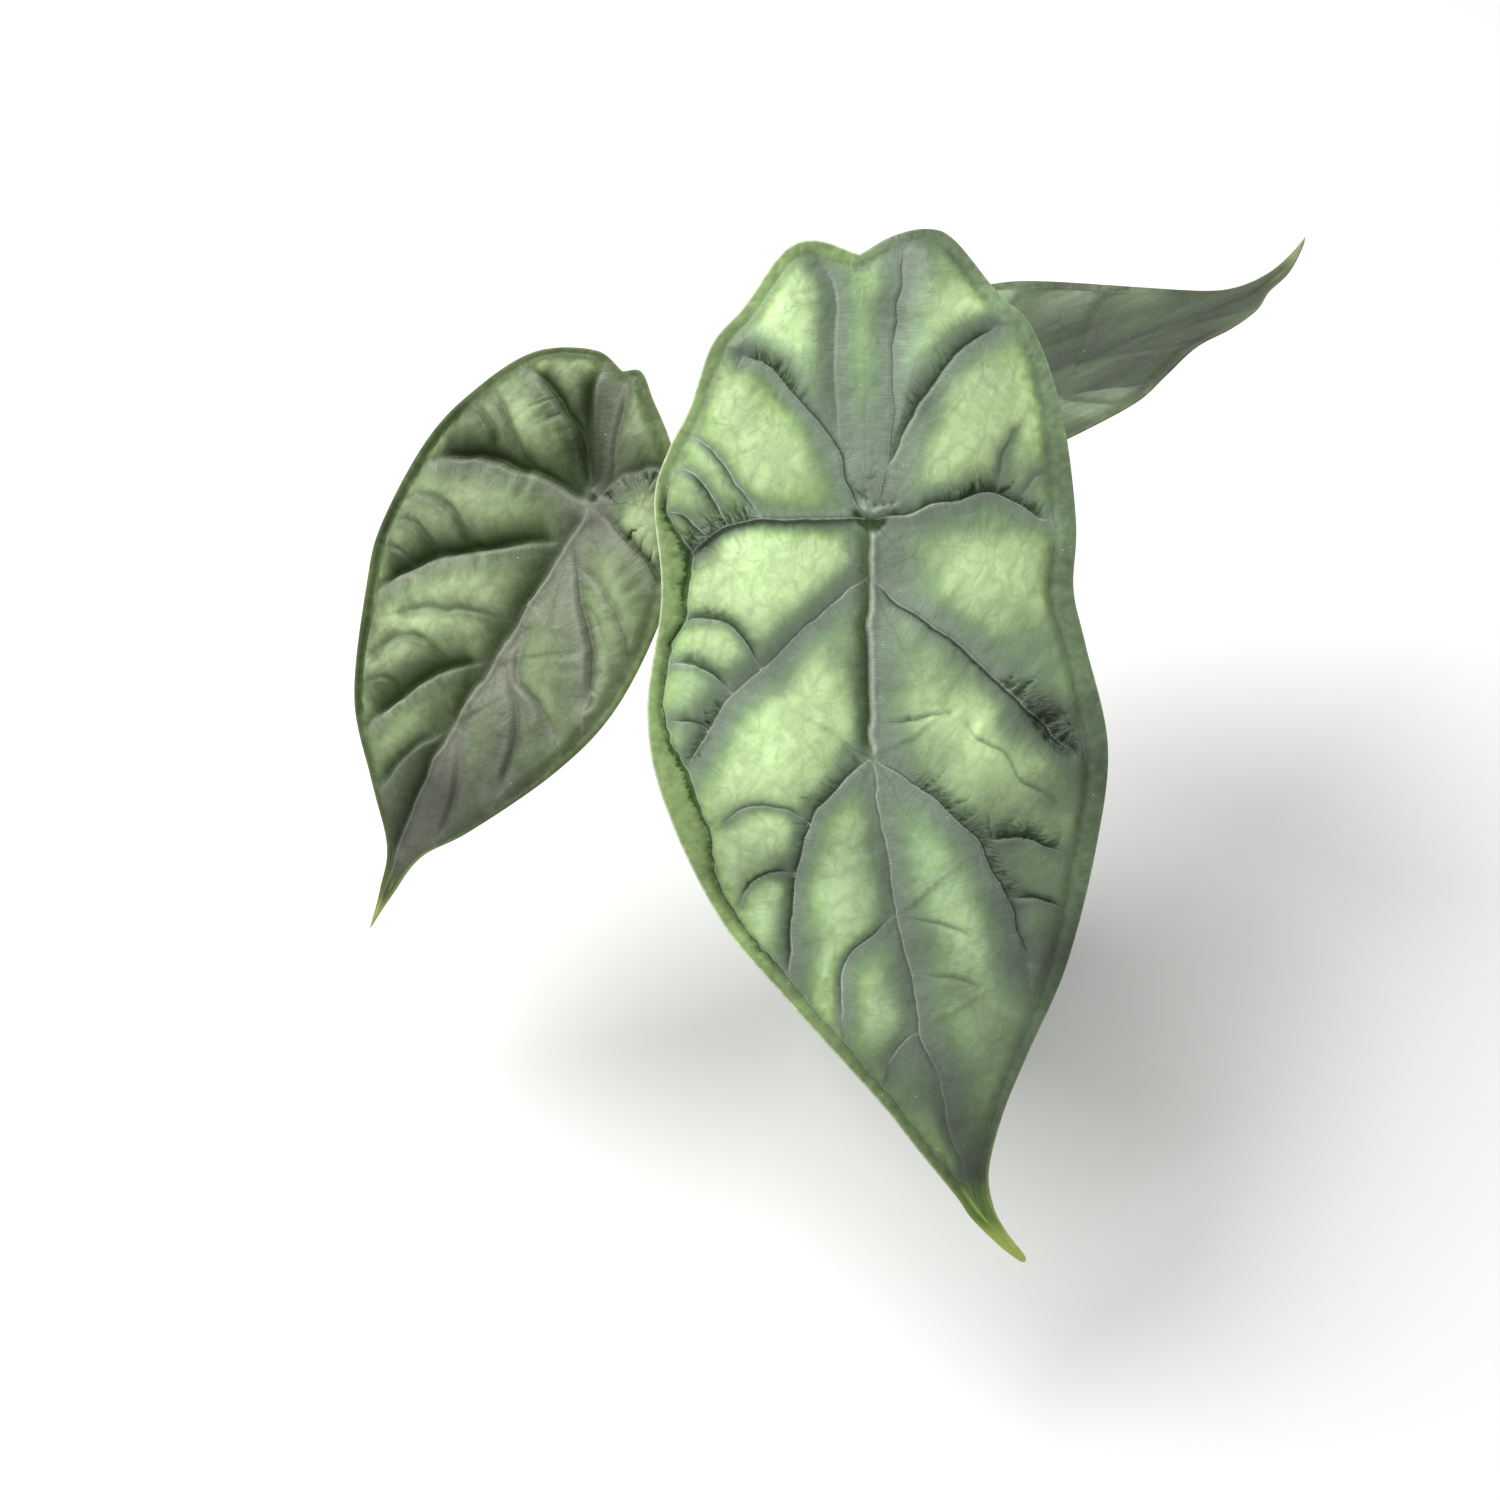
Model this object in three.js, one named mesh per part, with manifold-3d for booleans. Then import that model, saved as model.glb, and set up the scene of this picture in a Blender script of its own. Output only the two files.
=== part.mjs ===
// Dragon scale alocasia in a small nursery pot. Three shield-shaped blades, each carried near its
// middle by a stalk, rise from one corm that is half buried in the potting mix.
// Millimetres, +Z up. The origin is the centre of the pot's underside, and -Y is the plant's front.

import * as THREE from "three";
import { mergeVertices } from "three/addons/utils/BufferGeometryUtils.js";
import Module from "manifold-3d";

const wasm = await Module();
wasm.setup();

// Clearance between pieces that touch
const SEAT_GAP = 0.3;

// Pot
const POT_HEIGHT = 70;
const POT_BASE_RADIUS = 26;
const POT_WALL_TOP_RADIUS = 35.5;
const POT_RIM_RADIUS = 37.5;
const POT_RIM_HEIGHT = 7;
const POT_WALL = 1.5;
const POT_FLOOR = 2;
const POT_EDGE_ROUND = 0.8;
const POT_SIDES = 48;
const DRAIN_SLOTS = 6;
const DRAIN_SLOT_WIDTH = 3.6;
const DRAIN_SLOT_LENGTH = 9;
const DRAIN_SLOT_RADIUS = 15.5;

// Potting mix
const MIX_HEIGHT = 61.5;
const MIX_DOME = 1.5;
const MIX_SIDES = 40;

// Corm
const CORM_RADIUS = 8;
const CORM_FOOT = 46;
const CORM_TOP = 71;
const CORM_TOP_RADIUS = 7.7;
const CORM_SIDES = 24;

// Bracts: papery shells that stand on the mix and clasp the corm
const BRACT_THICKNESS = 0.9;
const BRACT_CLEARANCE = 0.5;
const BRACT_ARC_STEPS = 10;
const BRACTS = {
  sheath_front: { azimuth: -48, halfSpan: 32, height: 17 },
  sheath_rear: { azimuth: 28, halfSpan: 26, height: 13 },
};

// Stalks
const STALK_ROOT_OFFSET = 4.3;
const STALK_ROOT_RADIUS = 3.2;
const STALK_NECK_RADIUS = 2.1;
const STALK_STEPS = 18;
const STALK_SIDES = 12;

// Blades
const BLADE_THICKNESS = 1.2;
const BLADE_ROWS = 30;
const BLADE_HALF_COLUMNS = 6;
const RIB_FOLD_DEPTH = 1.2;
const RIB_FOLD_WIDTH = 9;

// Each blade is drawn flat, from the place where its stalk meets it: a point is [across, tipward].
// The two margins and the rib run from the notch between the lobes to the tip. The blade then
// bends: droop turns the tip down, hunch turns the lobes down and cup turns the margins down,
// and a negative value turns them up.
const BLADES = {
  front: {
    hub: [-16.5, -16, 159],
    tipward: [0, -1, -1],
    facing: [0, -1, 1],
    left: [
      [-2, -56], [-11, -59], [-17.5, -56.5], [-25, -45], [-32, -36.5], [-37, -23.5], [-42, -14.5],
      [-45, -4], [-43.5, 16], [-46.5, 40], [-43, 59], [-31.5, 84], [-19, 98], [4, 122.5],
      [16.5, 135.5], [24, 146], [33, 156],
    ],
    right: [
      [-2, -56], [5, -60], [12.5, -61.5], [18, -59], [27, -47.5], [34, -40.5], [40, -23], [43, 0],
      [42.5, 14.5], [45, 26], [49.5, 47], [47, 68], [40, 95], [32, 112.5], [26, 130], [26.5, 143],
      [33, 156],
    ],
    rib: [[-2, -56], [0, 0], [-0.5, 25], [0.5, 50], [7, 80], [16.5, 121], [24, 140], [33, 156]],
    droop: 0.0008,
    droopFrom: 60,
    hunch: 0.003,
    cup: 0.0012,
    rootAzimuth: -100,
    stalkRise: 42,
    stalkReach: 34,
  },
  left: {
    hub: [-77, 16.5, 135],
    tipward: [-0.486, -0.514, -0.707],
    facing: [-0.321, -0.647, 0.691],
    left: [
      [-9, -29.5], [-17, -30.5], [-29.5, -23.5], [-38, -10], [-43, 6], [-43, 28], [-39, 41.5],
      [-28, 65.5], [-15.5, 79], [-5, 90.5], [-2, 100], [0, 110],
    ],
    right: [
      [-9, -29.5], [-5, -31.5], [1, -27.5], [9, -22], [17.5, -14], [23.5, -2], [28, 15],
      [28.5, 37], [23, 56], [12, 77], [4, 88.5], [1.5, 100], [0, 110],
    ],
    rib: [[-9, -29.5], [0, 0], [-2.5, 30], [-4, 60], [-3, 80], [0, 110]],
    droop: 0.0015,
    droopFrom: 50,
    hunch: 0.003,
    cup: 0.001,
    rootAzimuth: 140,
    stalkRise: 40,
    stalkReach: 36,
  },
  right: {
    hub: [8, 61.5, 126.5],
    tipward: [0.858, 0.511, 0.057],
    facing: [-0.158, 0.157, 0.975],
    left: [
      [0, -35], [-8, -41], [-18, -41], [-28, -34], [-34, -22], [-37, -5], [-37, 10], [-34, 27],
      [-27, 40], [-19.5, 54], [-17, 66], [-13, 77], [-6.5, 86], [-3, 95], [2, 104],
    ],
    right: [
      [0, -35], [8, -42], [19, -42], [30, -35], [38, -20], [41, 0], [41, 22], [37.5, 37], [30, 48],
      [15, 63], [4.5, 74], [1, 82], [1, 92], [2, 104],
    ],
    rib: [[0, -35], [0, 0], [1, 30], [-1, 55], [-4, 78], [-1, 92], [2, 104]],
    droop: -0.0186,
    droopFrom: 87.5,
    hunch: 0.002,
    cup: -0.0029,
    rootAzimuth: 20,
    stalkRise: 40,
    stalkReach: 30,
  },
};

function material(colour, roughness) {
  return new THREE.MeshStandardMaterial({ color: colour, roughness, metalness: 0 });
}

const MATERIALS = {
  plastic: material(0x2f3231, 0.55),
  mix: material(0x3b2a1e, 0.95),
  corm: material(0x6f6048, 0.8),
  bract: material(0x8a6d4a, 0.75),
  stalk: material(0x7f9a5c, 0.45),
  blade_front: material(0x8fae74, 0.5),
  blade_left: material(0x5f7a52, 0.5),
  blade_right: material(0x5b6a5c, 0.5),
};

const group = new THREE.Group();

function addPiece(name, geometry, look) {
  const mesh = new THREE.Mesh(geometry, look);
  mesh.name = name;
  group.add(mesh);
  return mesh;
}

// The same surface with shared corners, and without the slivers that a lathe leaves on its axis
function welded(geometry) {
  const bare = geometry.clone();
  bare.deleteAttribute("normal");
  bare.deleteAttribute("uv");
  const merged = mergeVertices(bare, 1e-4);
  const corners = merged.index.array;
  const kept = [];
  for (let i = 0; i < corners.length; i += 3) {
    const [a, b, c] = corners.slice(i, i + 3);
    if (a !== b && b !== c && c !== a) kept.push(a, b, c);
  }
  merged.setIndex(kept);
  merged.computeVertexNormals();
  return merged;
}

function toSolid(geometry) {
  const closed = welded(geometry);
  return new wasm.Manifold(new wasm.Mesh({
    numProp: 3,
    vertProperties: new Float32Array(closed.attributes.position.array),
    triVerts: new Uint32Array(closed.index.array),
  }));
}

function fromSolid(solid) {
  const { vertProperties, triVerts } = solid.getMesh();
  const geometry = new THREE.BufferGeometry();
  geometry.setAttribute("position", new THREE.BufferAttribute(vertProperties, 3));
  geometry.setIndex(new THREE.BufferAttribute(triVerts, 1));
  geometry.computeVertexNormals();
  return geometry;
}

// A turned piece from [radius, height] points that start and end on the axis, its underside first
function turned(profile, sides) {
  const points = profile.map(([radius, height]) => new THREE.Vector2(radius, height));
  return welded(new THREE.LatheGeometry(points, sides).rotateX(Math.PI / 2));
}

function wallRadius(height) {
  const wallHeight = POT_HEIGHT - POT_RIM_HEIGHT;
  return THREE.MathUtils.mapLinear(height, 0, wallHeight, POT_BASE_RADIUS, POT_WALL_TOP_RADIUS);
}

function innerRadius(height) {
  return Math.min(wallRadius(height), POT_WALL_TOP_RADIUS) - POT_WALL;
}

function drainSlot(azimuth) {
  const halfRun = (DRAIN_SLOT_LENGTH - DRAIN_SLOT_WIDTH) / 2;
  const round = DRAIN_SLOT_WIDTH / 2;
  const outline = new THREE.Shape();
  outline.absarc(DRAIN_SLOT_RADIUS + halfRun, 0, round, -Math.PI / 2, Math.PI / 2, false);
  outline.absarc(DRAIN_SLOT_RADIUS - halfRun, 0, round, Math.PI / 2, Math.PI * 1.5, false);
  const depth = POT_FLOOR * 3;
  const plug = new THREE.ExtrudeGeometry(outline, { depth, bevelEnabled: false, curveSegments: 6 });
  return toSolid(plug.translate(0, 0, -POT_FLOOR).rotateZ(azimuth));
}

function potGeometry() {
  const rimFoot = POT_HEIGHT - POT_RIM_HEIGHT;
  let pot = toSolid(turned([
    [0, 0],
    [POT_BASE_RADIUS - POT_EDGE_ROUND, 0],
    [wallRadius(POT_EDGE_ROUND), POT_EDGE_ROUND],
    [POT_WALL_TOP_RADIUS, rimFoot],
    [POT_RIM_RADIUS, rimFoot],
    [POT_RIM_RADIUS, POT_HEIGHT - POT_EDGE_ROUND],
    [POT_RIM_RADIUS - POT_EDGE_ROUND, POT_HEIGHT],
    [innerRadius(POT_HEIGHT) + POT_EDGE_ROUND, POT_HEIGHT],
    [innerRadius(POT_HEIGHT), POT_HEIGHT - POT_EDGE_ROUND],
    [innerRadius(rimFoot), rimFoot],
    [innerRadius(POT_FLOOR), POT_FLOOR],
    [0, POT_FLOOR],
  ], POT_SIDES));
  for (let i = 0; i < DRAIN_SLOTS; i += 1) {
    pot = pot.subtract(drainSlot((i * Math.PI * 2) / DRAIN_SLOTS));
  }
  return fromSolid(pot);
}

// The mix fills the pot to just under the rim, and its socket holds the foot of the corm
function mixGeometry() {
  const foot = POT_FLOOR + SEAT_GAP;
  const socketRadius = CORM_RADIUS + SEAT_GAP;
  return turned([
    [0, foot],
    [innerRadius(foot) - SEAT_GAP, foot],
    [innerRadius(MIX_HEIGHT) - SEAT_GAP, MIX_HEIGHT],
    [socketRadius * 2, MIX_HEIGHT + MIX_DOME * 0.8],
    [socketRadius, MIX_HEIGHT + MIX_DOME],
    [socketRadius, CORM_FOOT - SEAT_GAP],
    [0, CORM_FOOT - SEAT_GAP],
  ], MIX_SIDES);
}

function cormGeometry() {
  return turned([
    [0, CORM_FOOT],
    [CORM_RADIUS * 0.6, CORM_FOOT],
    [CORM_RADIUS * 0.9, CORM_FOOT + 4],
    [CORM_RADIUS, CORM_FOOT + 10],
    [CORM_RADIUS, CORM_TOP - 3],
    [CORM_TOP_RADIUS, CORM_TOP],
    [0, CORM_TOP],
  ], CORM_SIDES);
}

function bractGeometry({ azimuth, halfSpan, height }) {
  const inner = CORM_RADIUS + BRACT_CLEARANCE;
  const outer = inner + BRACT_THICKNESS;
  const from = THREE.MathUtils.degToRad(azimuth - halfSpan);
  const to = THREE.MathUtils.degToRad(azimuth + halfSpan);
  const section = new THREE.Shape();
  section.absarc(0, 0, outer, from, to, false);
  section.absarc(0, 0, inner, to, from, true);
  const foot = MIX_HEIGHT + MIX_DOME + SEAT_GAP;
  const settings = { depth: height, bevelEnabled: false, curveSegments: BRACT_ARC_STEPS };
  return welded(new THREE.ExtrudeGeometry(section, settings).translate(0, 0, foot));
}

// Where the point [across, tipward] lies above the flat blade
function bladeHeight(blade, across, tipward, ribAcross) {
  const pastDroop = Math.max(0, tipward - blade.droopFrom);
  const pastHunch = Math.max(0, -tipward - 15);
  const fromRib = across - ribAcross;
  const fold = RIB_FOLD_DEPTH * (1 - Math.exp(-((fromRib / RIB_FOLD_WIDTH) ** 2)));
  return fold
    - blade.droop * pastDroop ** 2
    - blade.hunch * pastHunch ** 2
    - blade.cup * fromRib ** 2;
}

function plainCurve(points) {
  return new THREE.SplineCurve(points.map(([x, y]) => new THREE.Vector2(x, y)));
}

// Rows of points across the blade, each from the left margin over the rib to the right margin
function bladeRows(blade) {
  const left = plainCurve(blade.left);
  const right = plainCurve(blade.right);
  const rib = plainCurve(blade.rib);
  const rows = [];
  for (let i = 0; i <= BLADE_ROWS; i += 1) {
    const along = i / BLADE_ROWS;
    const middle = rib.getPointAt(along);
    const row = [];
    for (let j = -BLADE_HALF_COLUMNS; j <= BLADE_HALF_COLUMNS; j += 1) {
      const margin = (j < 0 ? left : right).getPointAt(along);
      const point = middle.clone().lerp(margin, Math.abs(j) / BLADE_HALF_COLUMNS);
      const height = bladeHeight(blade, point.x, point.y, middle.x);
      row.push(new THREE.Vector3(point.x, -point.y, height));
    }
    rows.push(row);
  }
  return rows;
}

// The two faces of the blade and the rim between them, as one closed shell
function bladeGeometry(blade) {
  const rows = bladeRows(blade);
  const columns = rows[0].length;
  const corners = [];
  for (const lift of [BLADE_THICKNESS / 2, -BLADE_THICKNESS / 2]) {
    for (const row of rows) {
      for (const point of row) corners.push(point.x, point.y, point.z + lift);
    }
  }
  const under = rows.length * columns;
  const faces = [];
  const quad = (a, b, c, d) => faces.push(a, b, c, a, c, d);
  for (let i = 0; i < BLADE_ROWS; i += 1) {
    for (let j = 0; j < columns - 1; j += 1) {
      const near = i * columns + j;
      const far = near + columns;
      quad(near, far, far + 1, near + 1);
      quad(under + near, under + near + 1, under + far + 1, under + far);
    }
    const first = i * columns;
    const last = first + columns - 1;
    quad(first, under + first, under + first + columns, first + columns);
    quad(last + columns, under + last + columns, under + last, last);
  }
  const geometry = new THREE.BufferGeometry();
  geometry.setAttribute("position", new THREE.Float32BufferAttribute(corners, 3));
  geometry.setIndex(faces);
  return welded(geometry);
}

function bladeAxes(blade) {
  const tipward = new THREE.Vector3(...blade.tipward).normalize();
  const facing = new THREE.Vector3(...blade.facing);
  facing.addScaledVector(tipward, -facing.dot(tipward)).normalize();
  const lobeward = tipward.negate();
  const across = new THREE.Vector3().crossVectors(lobeward, facing);
  return { across, lobeward, facing };
}

// A stalk leaves the corm's top upright and meets the back of its blade square on
function stalkCurve(blade) {
  const { facing } = bladeAxes(blade);
  const hub = new THREE.Vector3(...blade.hub);
  const azimuth = THREE.MathUtils.degToRad(blade.rootAzimuth);
  const root = new THREE.Vector3(
    STALK_ROOT_OFFSET * Math.cos(azimuth),
    STALK_ROOT_OFFSET * Math.sin(azimuth),
    CORM_TOP + SEAT_GAP,
  );
  const neck = hub.clone().addScaledVector(facing, -(BLADE_THICKNESS / 2 + SEAT_GAP));
  const rootHandle = root.clone().setZ(root.z + blade.stalkRise);
  const neckHandle = neck.clone().addScaledVector(facing, -blade.stalkReach);
  return new THREE.CubicBezierCurve3(root, rootHandle, neckHandle, neck);
}

function stalkGeometry(curve) {
  const frames = curve.computeFrenetFrames(STALK_STEPS, false);
  const corners = [];
  for (let i = 0; i <= STALK_STEPS; i += 1) {
    const along = i / STALK_STEPS;
    const centre = curve.getPointAt(along);
    const radius = THREE.MathUtils.lerp(STALK_ROOT_RADIUS, STALK_NECK_RADIUS, Math.sqrt(along));
    for (let k = 0; k < STALK_SIDES; k += 1) {
      const turn = (k / STALK_SIDES) * Math.PI * 2;
      const corner = centre.clone();
      corner.addScaledVector(frames.normals[i], Math.cos(turn) * radius);
      corner.addScaledVector(frames.binormals[i], Math.sin(turn) * radius);
      corners.push(...corner.toArray());
    }
  }
  const faces = [];
  for (let i = 0; i < STALK_STEPS; i += 1) {
    for (let k = 0; k < STALK_SIDES; k += 1) {
      const here = i * STALK_SIDES + k;
      const beside = i * STALK_SIDES + ((k + 1) % STALK_SIDES);
      faces.push(here, beside, beside + STALK_SIDES);
      faces.push(here, beside + STALK_SIDES, here + STALK_SIDES);
    }
  }
  const lastRing = STALK_STEPS * STALK_SIDES;
  for (let k = 1; k < STALK_SIDES - 1; k += 1) {
    faces.push(0, k + 1, k);
    faces.push(lastRing, lastRing + k, lastRing + k + 1);
  }
  const geometry = new THREE.BufferGeometry();
  geometry.setAttribute("position", new THREE.Float32BufferAttribute(corners, 3));
  geometry.setIndex(faces);
  geometry.computeVertexNormals();
  return geometry;
}

function placeBlade(mesh, blade) {
  const { across, lobeward, facing } = bladeAxes(blade);
  const turn = new THREE.Matrix4().makeBasis(across, lobeward, facing);
  mesh.quaternion.setFromRotationMatrix(turn);
  mesh.position.set(...blade.hub);
}

addPiece("pot", potGeometry(), MATERIALS.plastic);
addPiece("potting_mix", mixGeometry(), MATERIALS.mix);
addPiece("corm", cormGeometry(), MATERIALS.corm);
for (const [name, bract] of Object.entries(BRACTS)) {
  addPiece(name, bractGeometry(bract), MATERIALS.bract);
}
for (const [side, blade] of Object.entries(BLADES)) {
  addPiece(`petiole_${side}`, stalkGeometry(stalkCurve(blade)), MATERIALS.stalk);
  placeBlade(addPiece(`leaf_${side}`, bladeGeometry(blade), MATERIALS[`blade_${side}`]), blade);
}

export default group;
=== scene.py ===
"""Dragon scale alocasia in a small nursery pot: every surface with its finish."""

import math
from collections import namedtuple

import bmesh
import bpy
import numpy as np
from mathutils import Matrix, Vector


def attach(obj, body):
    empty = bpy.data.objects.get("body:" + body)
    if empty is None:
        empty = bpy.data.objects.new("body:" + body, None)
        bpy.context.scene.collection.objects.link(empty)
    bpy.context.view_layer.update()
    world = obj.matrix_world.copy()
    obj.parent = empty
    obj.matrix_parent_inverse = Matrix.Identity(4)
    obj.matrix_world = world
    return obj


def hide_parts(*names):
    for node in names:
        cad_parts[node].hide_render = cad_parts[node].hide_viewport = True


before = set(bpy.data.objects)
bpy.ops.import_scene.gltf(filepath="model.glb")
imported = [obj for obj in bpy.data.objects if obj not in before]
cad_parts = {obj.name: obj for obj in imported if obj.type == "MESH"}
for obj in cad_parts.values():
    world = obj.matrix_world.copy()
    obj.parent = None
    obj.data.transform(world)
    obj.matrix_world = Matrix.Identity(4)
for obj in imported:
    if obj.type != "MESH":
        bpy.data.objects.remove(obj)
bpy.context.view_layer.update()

# Lengths are in millimetres, and MM turns them into the model's metres
MM = 0.001

# Camera: a picture 1500 pixels square, seen from the front and 45 degrees above
PICTURE = 1500
FOCAL_PIXELS = 2880
SENSOR = 36
CAMERA_PITCH = math.radians(45)
CAMERA_TARGET = Vector((-41.5, -50, 125)) * MM
CAMERA_DISTANCE = 600 * MM

# Studio: white surroundings and two round lights, each with its place, width and power
SURROUNDINGS_STRENGTH = 0.62
LIT_PLACE = Vector((-20, 0, 120)) * MM
LIGHTS = {
    "key": ((-480, 240, 900), 700, 9.5),
    "fill": ((-500, -900, 550), 800, 1.2),
}
FLOOR_RADIUS = 30000
FLOOR_COLOUR = (0.9, 0.9, 0.895, 1)


def place_camera():
    camera = bpy.data.cameras.new("camera")
    camera.sensor_width = SENSOR
    camera.sensor_fit = "HORIZONTAL"
    camera.lens = FOCAL_PIXELS / PICTURE * SENSOR
    camera.clip_start = 10 * MM
    holder = bpy.data.objects.new("camera", camera)
    holder.rotation_euler = (math.pi / 2 - CAMERA_PITCH, 0, 0)
    forward = Vector((0, math.cos(CAMERA_PITCH), -math.sin(CAMERA_PITCH)))
    holder.location = CAMERA_TARGET - forward * CAMERA_DISTANCE
    bpy.context.scene.collection.objects.link(holder)
    bpy.context.scene.camera = holder


def light_studio():
    scene = bpy.context.scene
    scene.view_settings.view_transform = "Standard"
    scene.view_settings.look = "None"
    scene.world = bpy.data.worlds.new("studio")
    scene.world.use_nodes = True
    surroundings = scene.world.node_tree.nodes["Background"]
    surroundings.inputs["Color"].default_value = (1, 1, 1, 1)
    surroundings.inputs["Strength"].default_value = SURROUNDINGS_STRENGTH
    for name, (place, width, power) in LIGHTS.items():
        light = bpy.data.lights.new(name, "AREA")
        light.shape = "DISK"
        light.size = width * MM
        light.energy = power
        holder = bpy.data.objects.new(name, light)
        holder.location = Vector(place) * MM
        holder.rotation_euler = (LIT_PLACE - holder.location).to_track_quat("-Z", "Y").to_euler()
        scene.collection.objects.link(holder)


def lay_floor():
    bpy.ops.mesh.primitive_circle_add(vertices=96, radius=FLOOR_RADIUS * MM, fill_type="TRIFAN")
    floor = bpy.context.object
    floor.name = "floor"
    look = bpy.data.materials.new("floor")
    look.use_nodes = True
    shader = look.node_tree.nodes["Principled BSDF"]
    shader.inputs["Base Color"].default_value = FLOOR_COLOUR
    shader.inputs["Roughness"].default_value = 0.9
    shader.inputs["Specular IOR Level"].default_value = 0.1
    floor.data.materials.append(look)


class Value:
    """A number or colour that varies over a surface: an output in a material's node tree."""

    def __init__(self, nodes, socket):
        self.nodes = nodes
        self.socket = socket

    def __add__(self, other):
        return self.nodes.math("ADD", self, other)

    def __sub__(self, other):
        return self.nodes.math("SUBTRACT", self, other)

    def __mul__(self, other):
        return self.nodes.math("MULTIPLY", self, other)

    def __abs__(self):
        return self.nodes.math("ABSOLUTE", self)

    def ramp(self, low, high, start=0.0, end=1.0):
        """A smooth change from start, where this value is low or less, to end."""
        limits = {"Value": self, "From Min": low, "From Max": high, "To Min": start, "To Max": end}
        return self.nodes.add("ShaderNodeMapRange", limits, interpolation_type="SMOOTHSTEP")


class Nodes:
    """A material's node tree, built by short calls."""

    def __init__(self, name):
        self.material = bpy.data.materials.new(name)
        self.material.use_nodes = True
        self.tree = self.material.node_tree

    def add(self, kind, inputs, output=0, **settings):
        """A new node's output. Its inputs are fed by name or number."""
        node = self.tree.nodes.new(kind)
        for name, value in settings.items():
            setattr(node, name, value)
        for name, value in inputs.items():
            self.feed(node.inputs[name], value)
        return Value(self, node.outputs[output])

    def feed(self, socket, value):
        if isinstance(value, Value):
            self.tree.links.new(value.socket, socket)
        elif socket.type == "RGBA":
            socket.default_value = (*value, 1)
        else:
            socket.default_value = value

    def attribute(self, name):
        return self.add("ShaderNodeAttribute", {}, "Fac", attribute_name=name)

    def object_place(self):
        return self.add("ShaderNodeTexCoord", {}, "Object")

    def math(self, operation, a, b=0.0, clamp=False):
        return self.add("ShaderNodeMath", {0: a, 1: b}, operation=operation, use_clamp=clamp)

    def mix(self, amount, a, b, blend="MIX"):
        """Colour a where the amount is 0 and colour b where it is 1."""
        colours = {0: amount, 6: a, 7: b}
        return self.add("ShaderNodeMix", colours, 2, data_type="RGBA", blend_type=blend)

    def layers(self, colour, *layers):
        """The colour with others laid over it in turn, each given as (amount, colour)."""
        for amount, over in layers:
            colour = self.mix(amount, colour, over)
        return colour

    def vector(self, x, y):
        return self.add("ShaderNodeCombineXYZ", {"X": x, "Y": y})

    def noise(self, place, scale, detail=3.0, roughness=0.5, distortion=0.0):
        inputs = {"Vector": place, "Scale": scale, "Detail": detail}
        inputs |= {"Roughness": roughness, "Distortion": distortion}
        return self.add("ShaderNodeTexNoise", inputs, "Fac")

    def streaks(self, x, y, detail=3.0, roughness=0.5, distortion=0.0):
        """Noise with about one patch a unit of x and of y, so that it can be drawn out one way."""
        return self.noise(self.vector(x, y), 1.0, detail, roughness, distortion)

    def cells(self, place, scale, feature="F1"):
        inputs = {"Vector": place, "Scale": scale}
        return self.add("ShaderNodeTexVoronoi", inputs, "Distance", feature=feature)

    def finish(self, colour, roughness, height, strength, depth, specular):
        """The material of this colour, with a relief of the given height pattern and depth."""
        relief = {"Height": height, "Strength": strength, "Distance": depth * MM}
        shader = self.tree.nodes["Principled BSDF"]
        self.feed(shader.inputs["Base Color"], colour)
        self.feed(shader.inputs["Roughness"], roughness)
        self.feed(shader.inputs["Normal"], self.add("ShaderNodeBump", relief, "Normal"))
        shader.inputs["Specular IOR Level"].default_value = specular
        return self.material


# Steps of a smooth curve from each of its given points to the next
CURVE_STEPS = 24


def distance_along(line):
    """How far along the line each of its points lies."""
    lengths = np.linalg.norm(np.diff(line, axis=0), axis=1)
    return np.concatenate([[0], np.cumsum(lengths)])


def points_at(line, reached, wanted):
    """The points at the wanted distances along the line."""
    return np.stack([np.interp(wanted, reached, column) for column in line.T], 1)


def smooth_curve(points, count):
    """Evenly spaced points on a smooth curve through these points."""
    knots = np.array(points, float)
    knots = np.vstack([2 * knots[0] - knots[1], knots, 2 * knots[-1] - knots[-2]])
    steps = np.linspace(0, 1, CURVE_STEPS, endpoint=False)[:, None]
    pieces = []
    for before, start, end, after in zip(knots, knots[1:], knots[2:], knots[3:]):
        leave = (end - before) / 2
        arrive = (after - start) / 2
        cubic = (2 * (start - end) + leave + arrive) * steps**3
        square = (3 * (end - start) - 2 * leave - arrive) * steps**2
        pieces.append(cubic + square + leave * steps + start)
    dense = np.vstack([*pieces, knots[-2:-1]])
    reached = distance_along(dense)
    return points_at(dense, reached, np.linspace(0, reached[-1], count))


def smoothstep(low, high, value):
    amount = np.clip((value - low) / (high - low), 0, 1)
    return amount * amount * (3 - 2 * amount)


def between(low, high, value, soft):
    """1 between low and high and 0 outside, with soft ends."""
    return smoothstep(low - soft, low + soft, value) * (1 - smoothstep(high - soft, high + soft, value))


def blend(start, end, amount):
    return start + (end - start) * amount


def bell(distance, reach, power=2):
    """1 at no distance, falling to a third at this reach and then to nothing."""
    return np.exp(-((distance / reach) ** power))


# Cells of the noise's grid each way, before it repeats
NOISE_CELLS = 64


def lattice_noise(x, y, seed):
    """Smooth noise from -1 to 1 with one bump a unit."""
    rng = np.random.default_rng(seed)
    grid = rng.uniform(-1, 1, (NOISE_CELLS, NOISE_CELLS))
    column = np.floor(x).astype(int)
    row = np.floor(y).astype(int)

    def corner(right, down):
        return grid[(row + down) % NOISE_CELLS, (column + right) % NOISE_CELLS]

    across = smoothstep(0, 1, x - column)
    upper = blend(corner(0, 0), corner(1, 0), across)
    lower = blend(corner(0, 1), corner(1, 1), across)
    return blend(upper, lower, smoothstep(0, 1, y - row))


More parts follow.
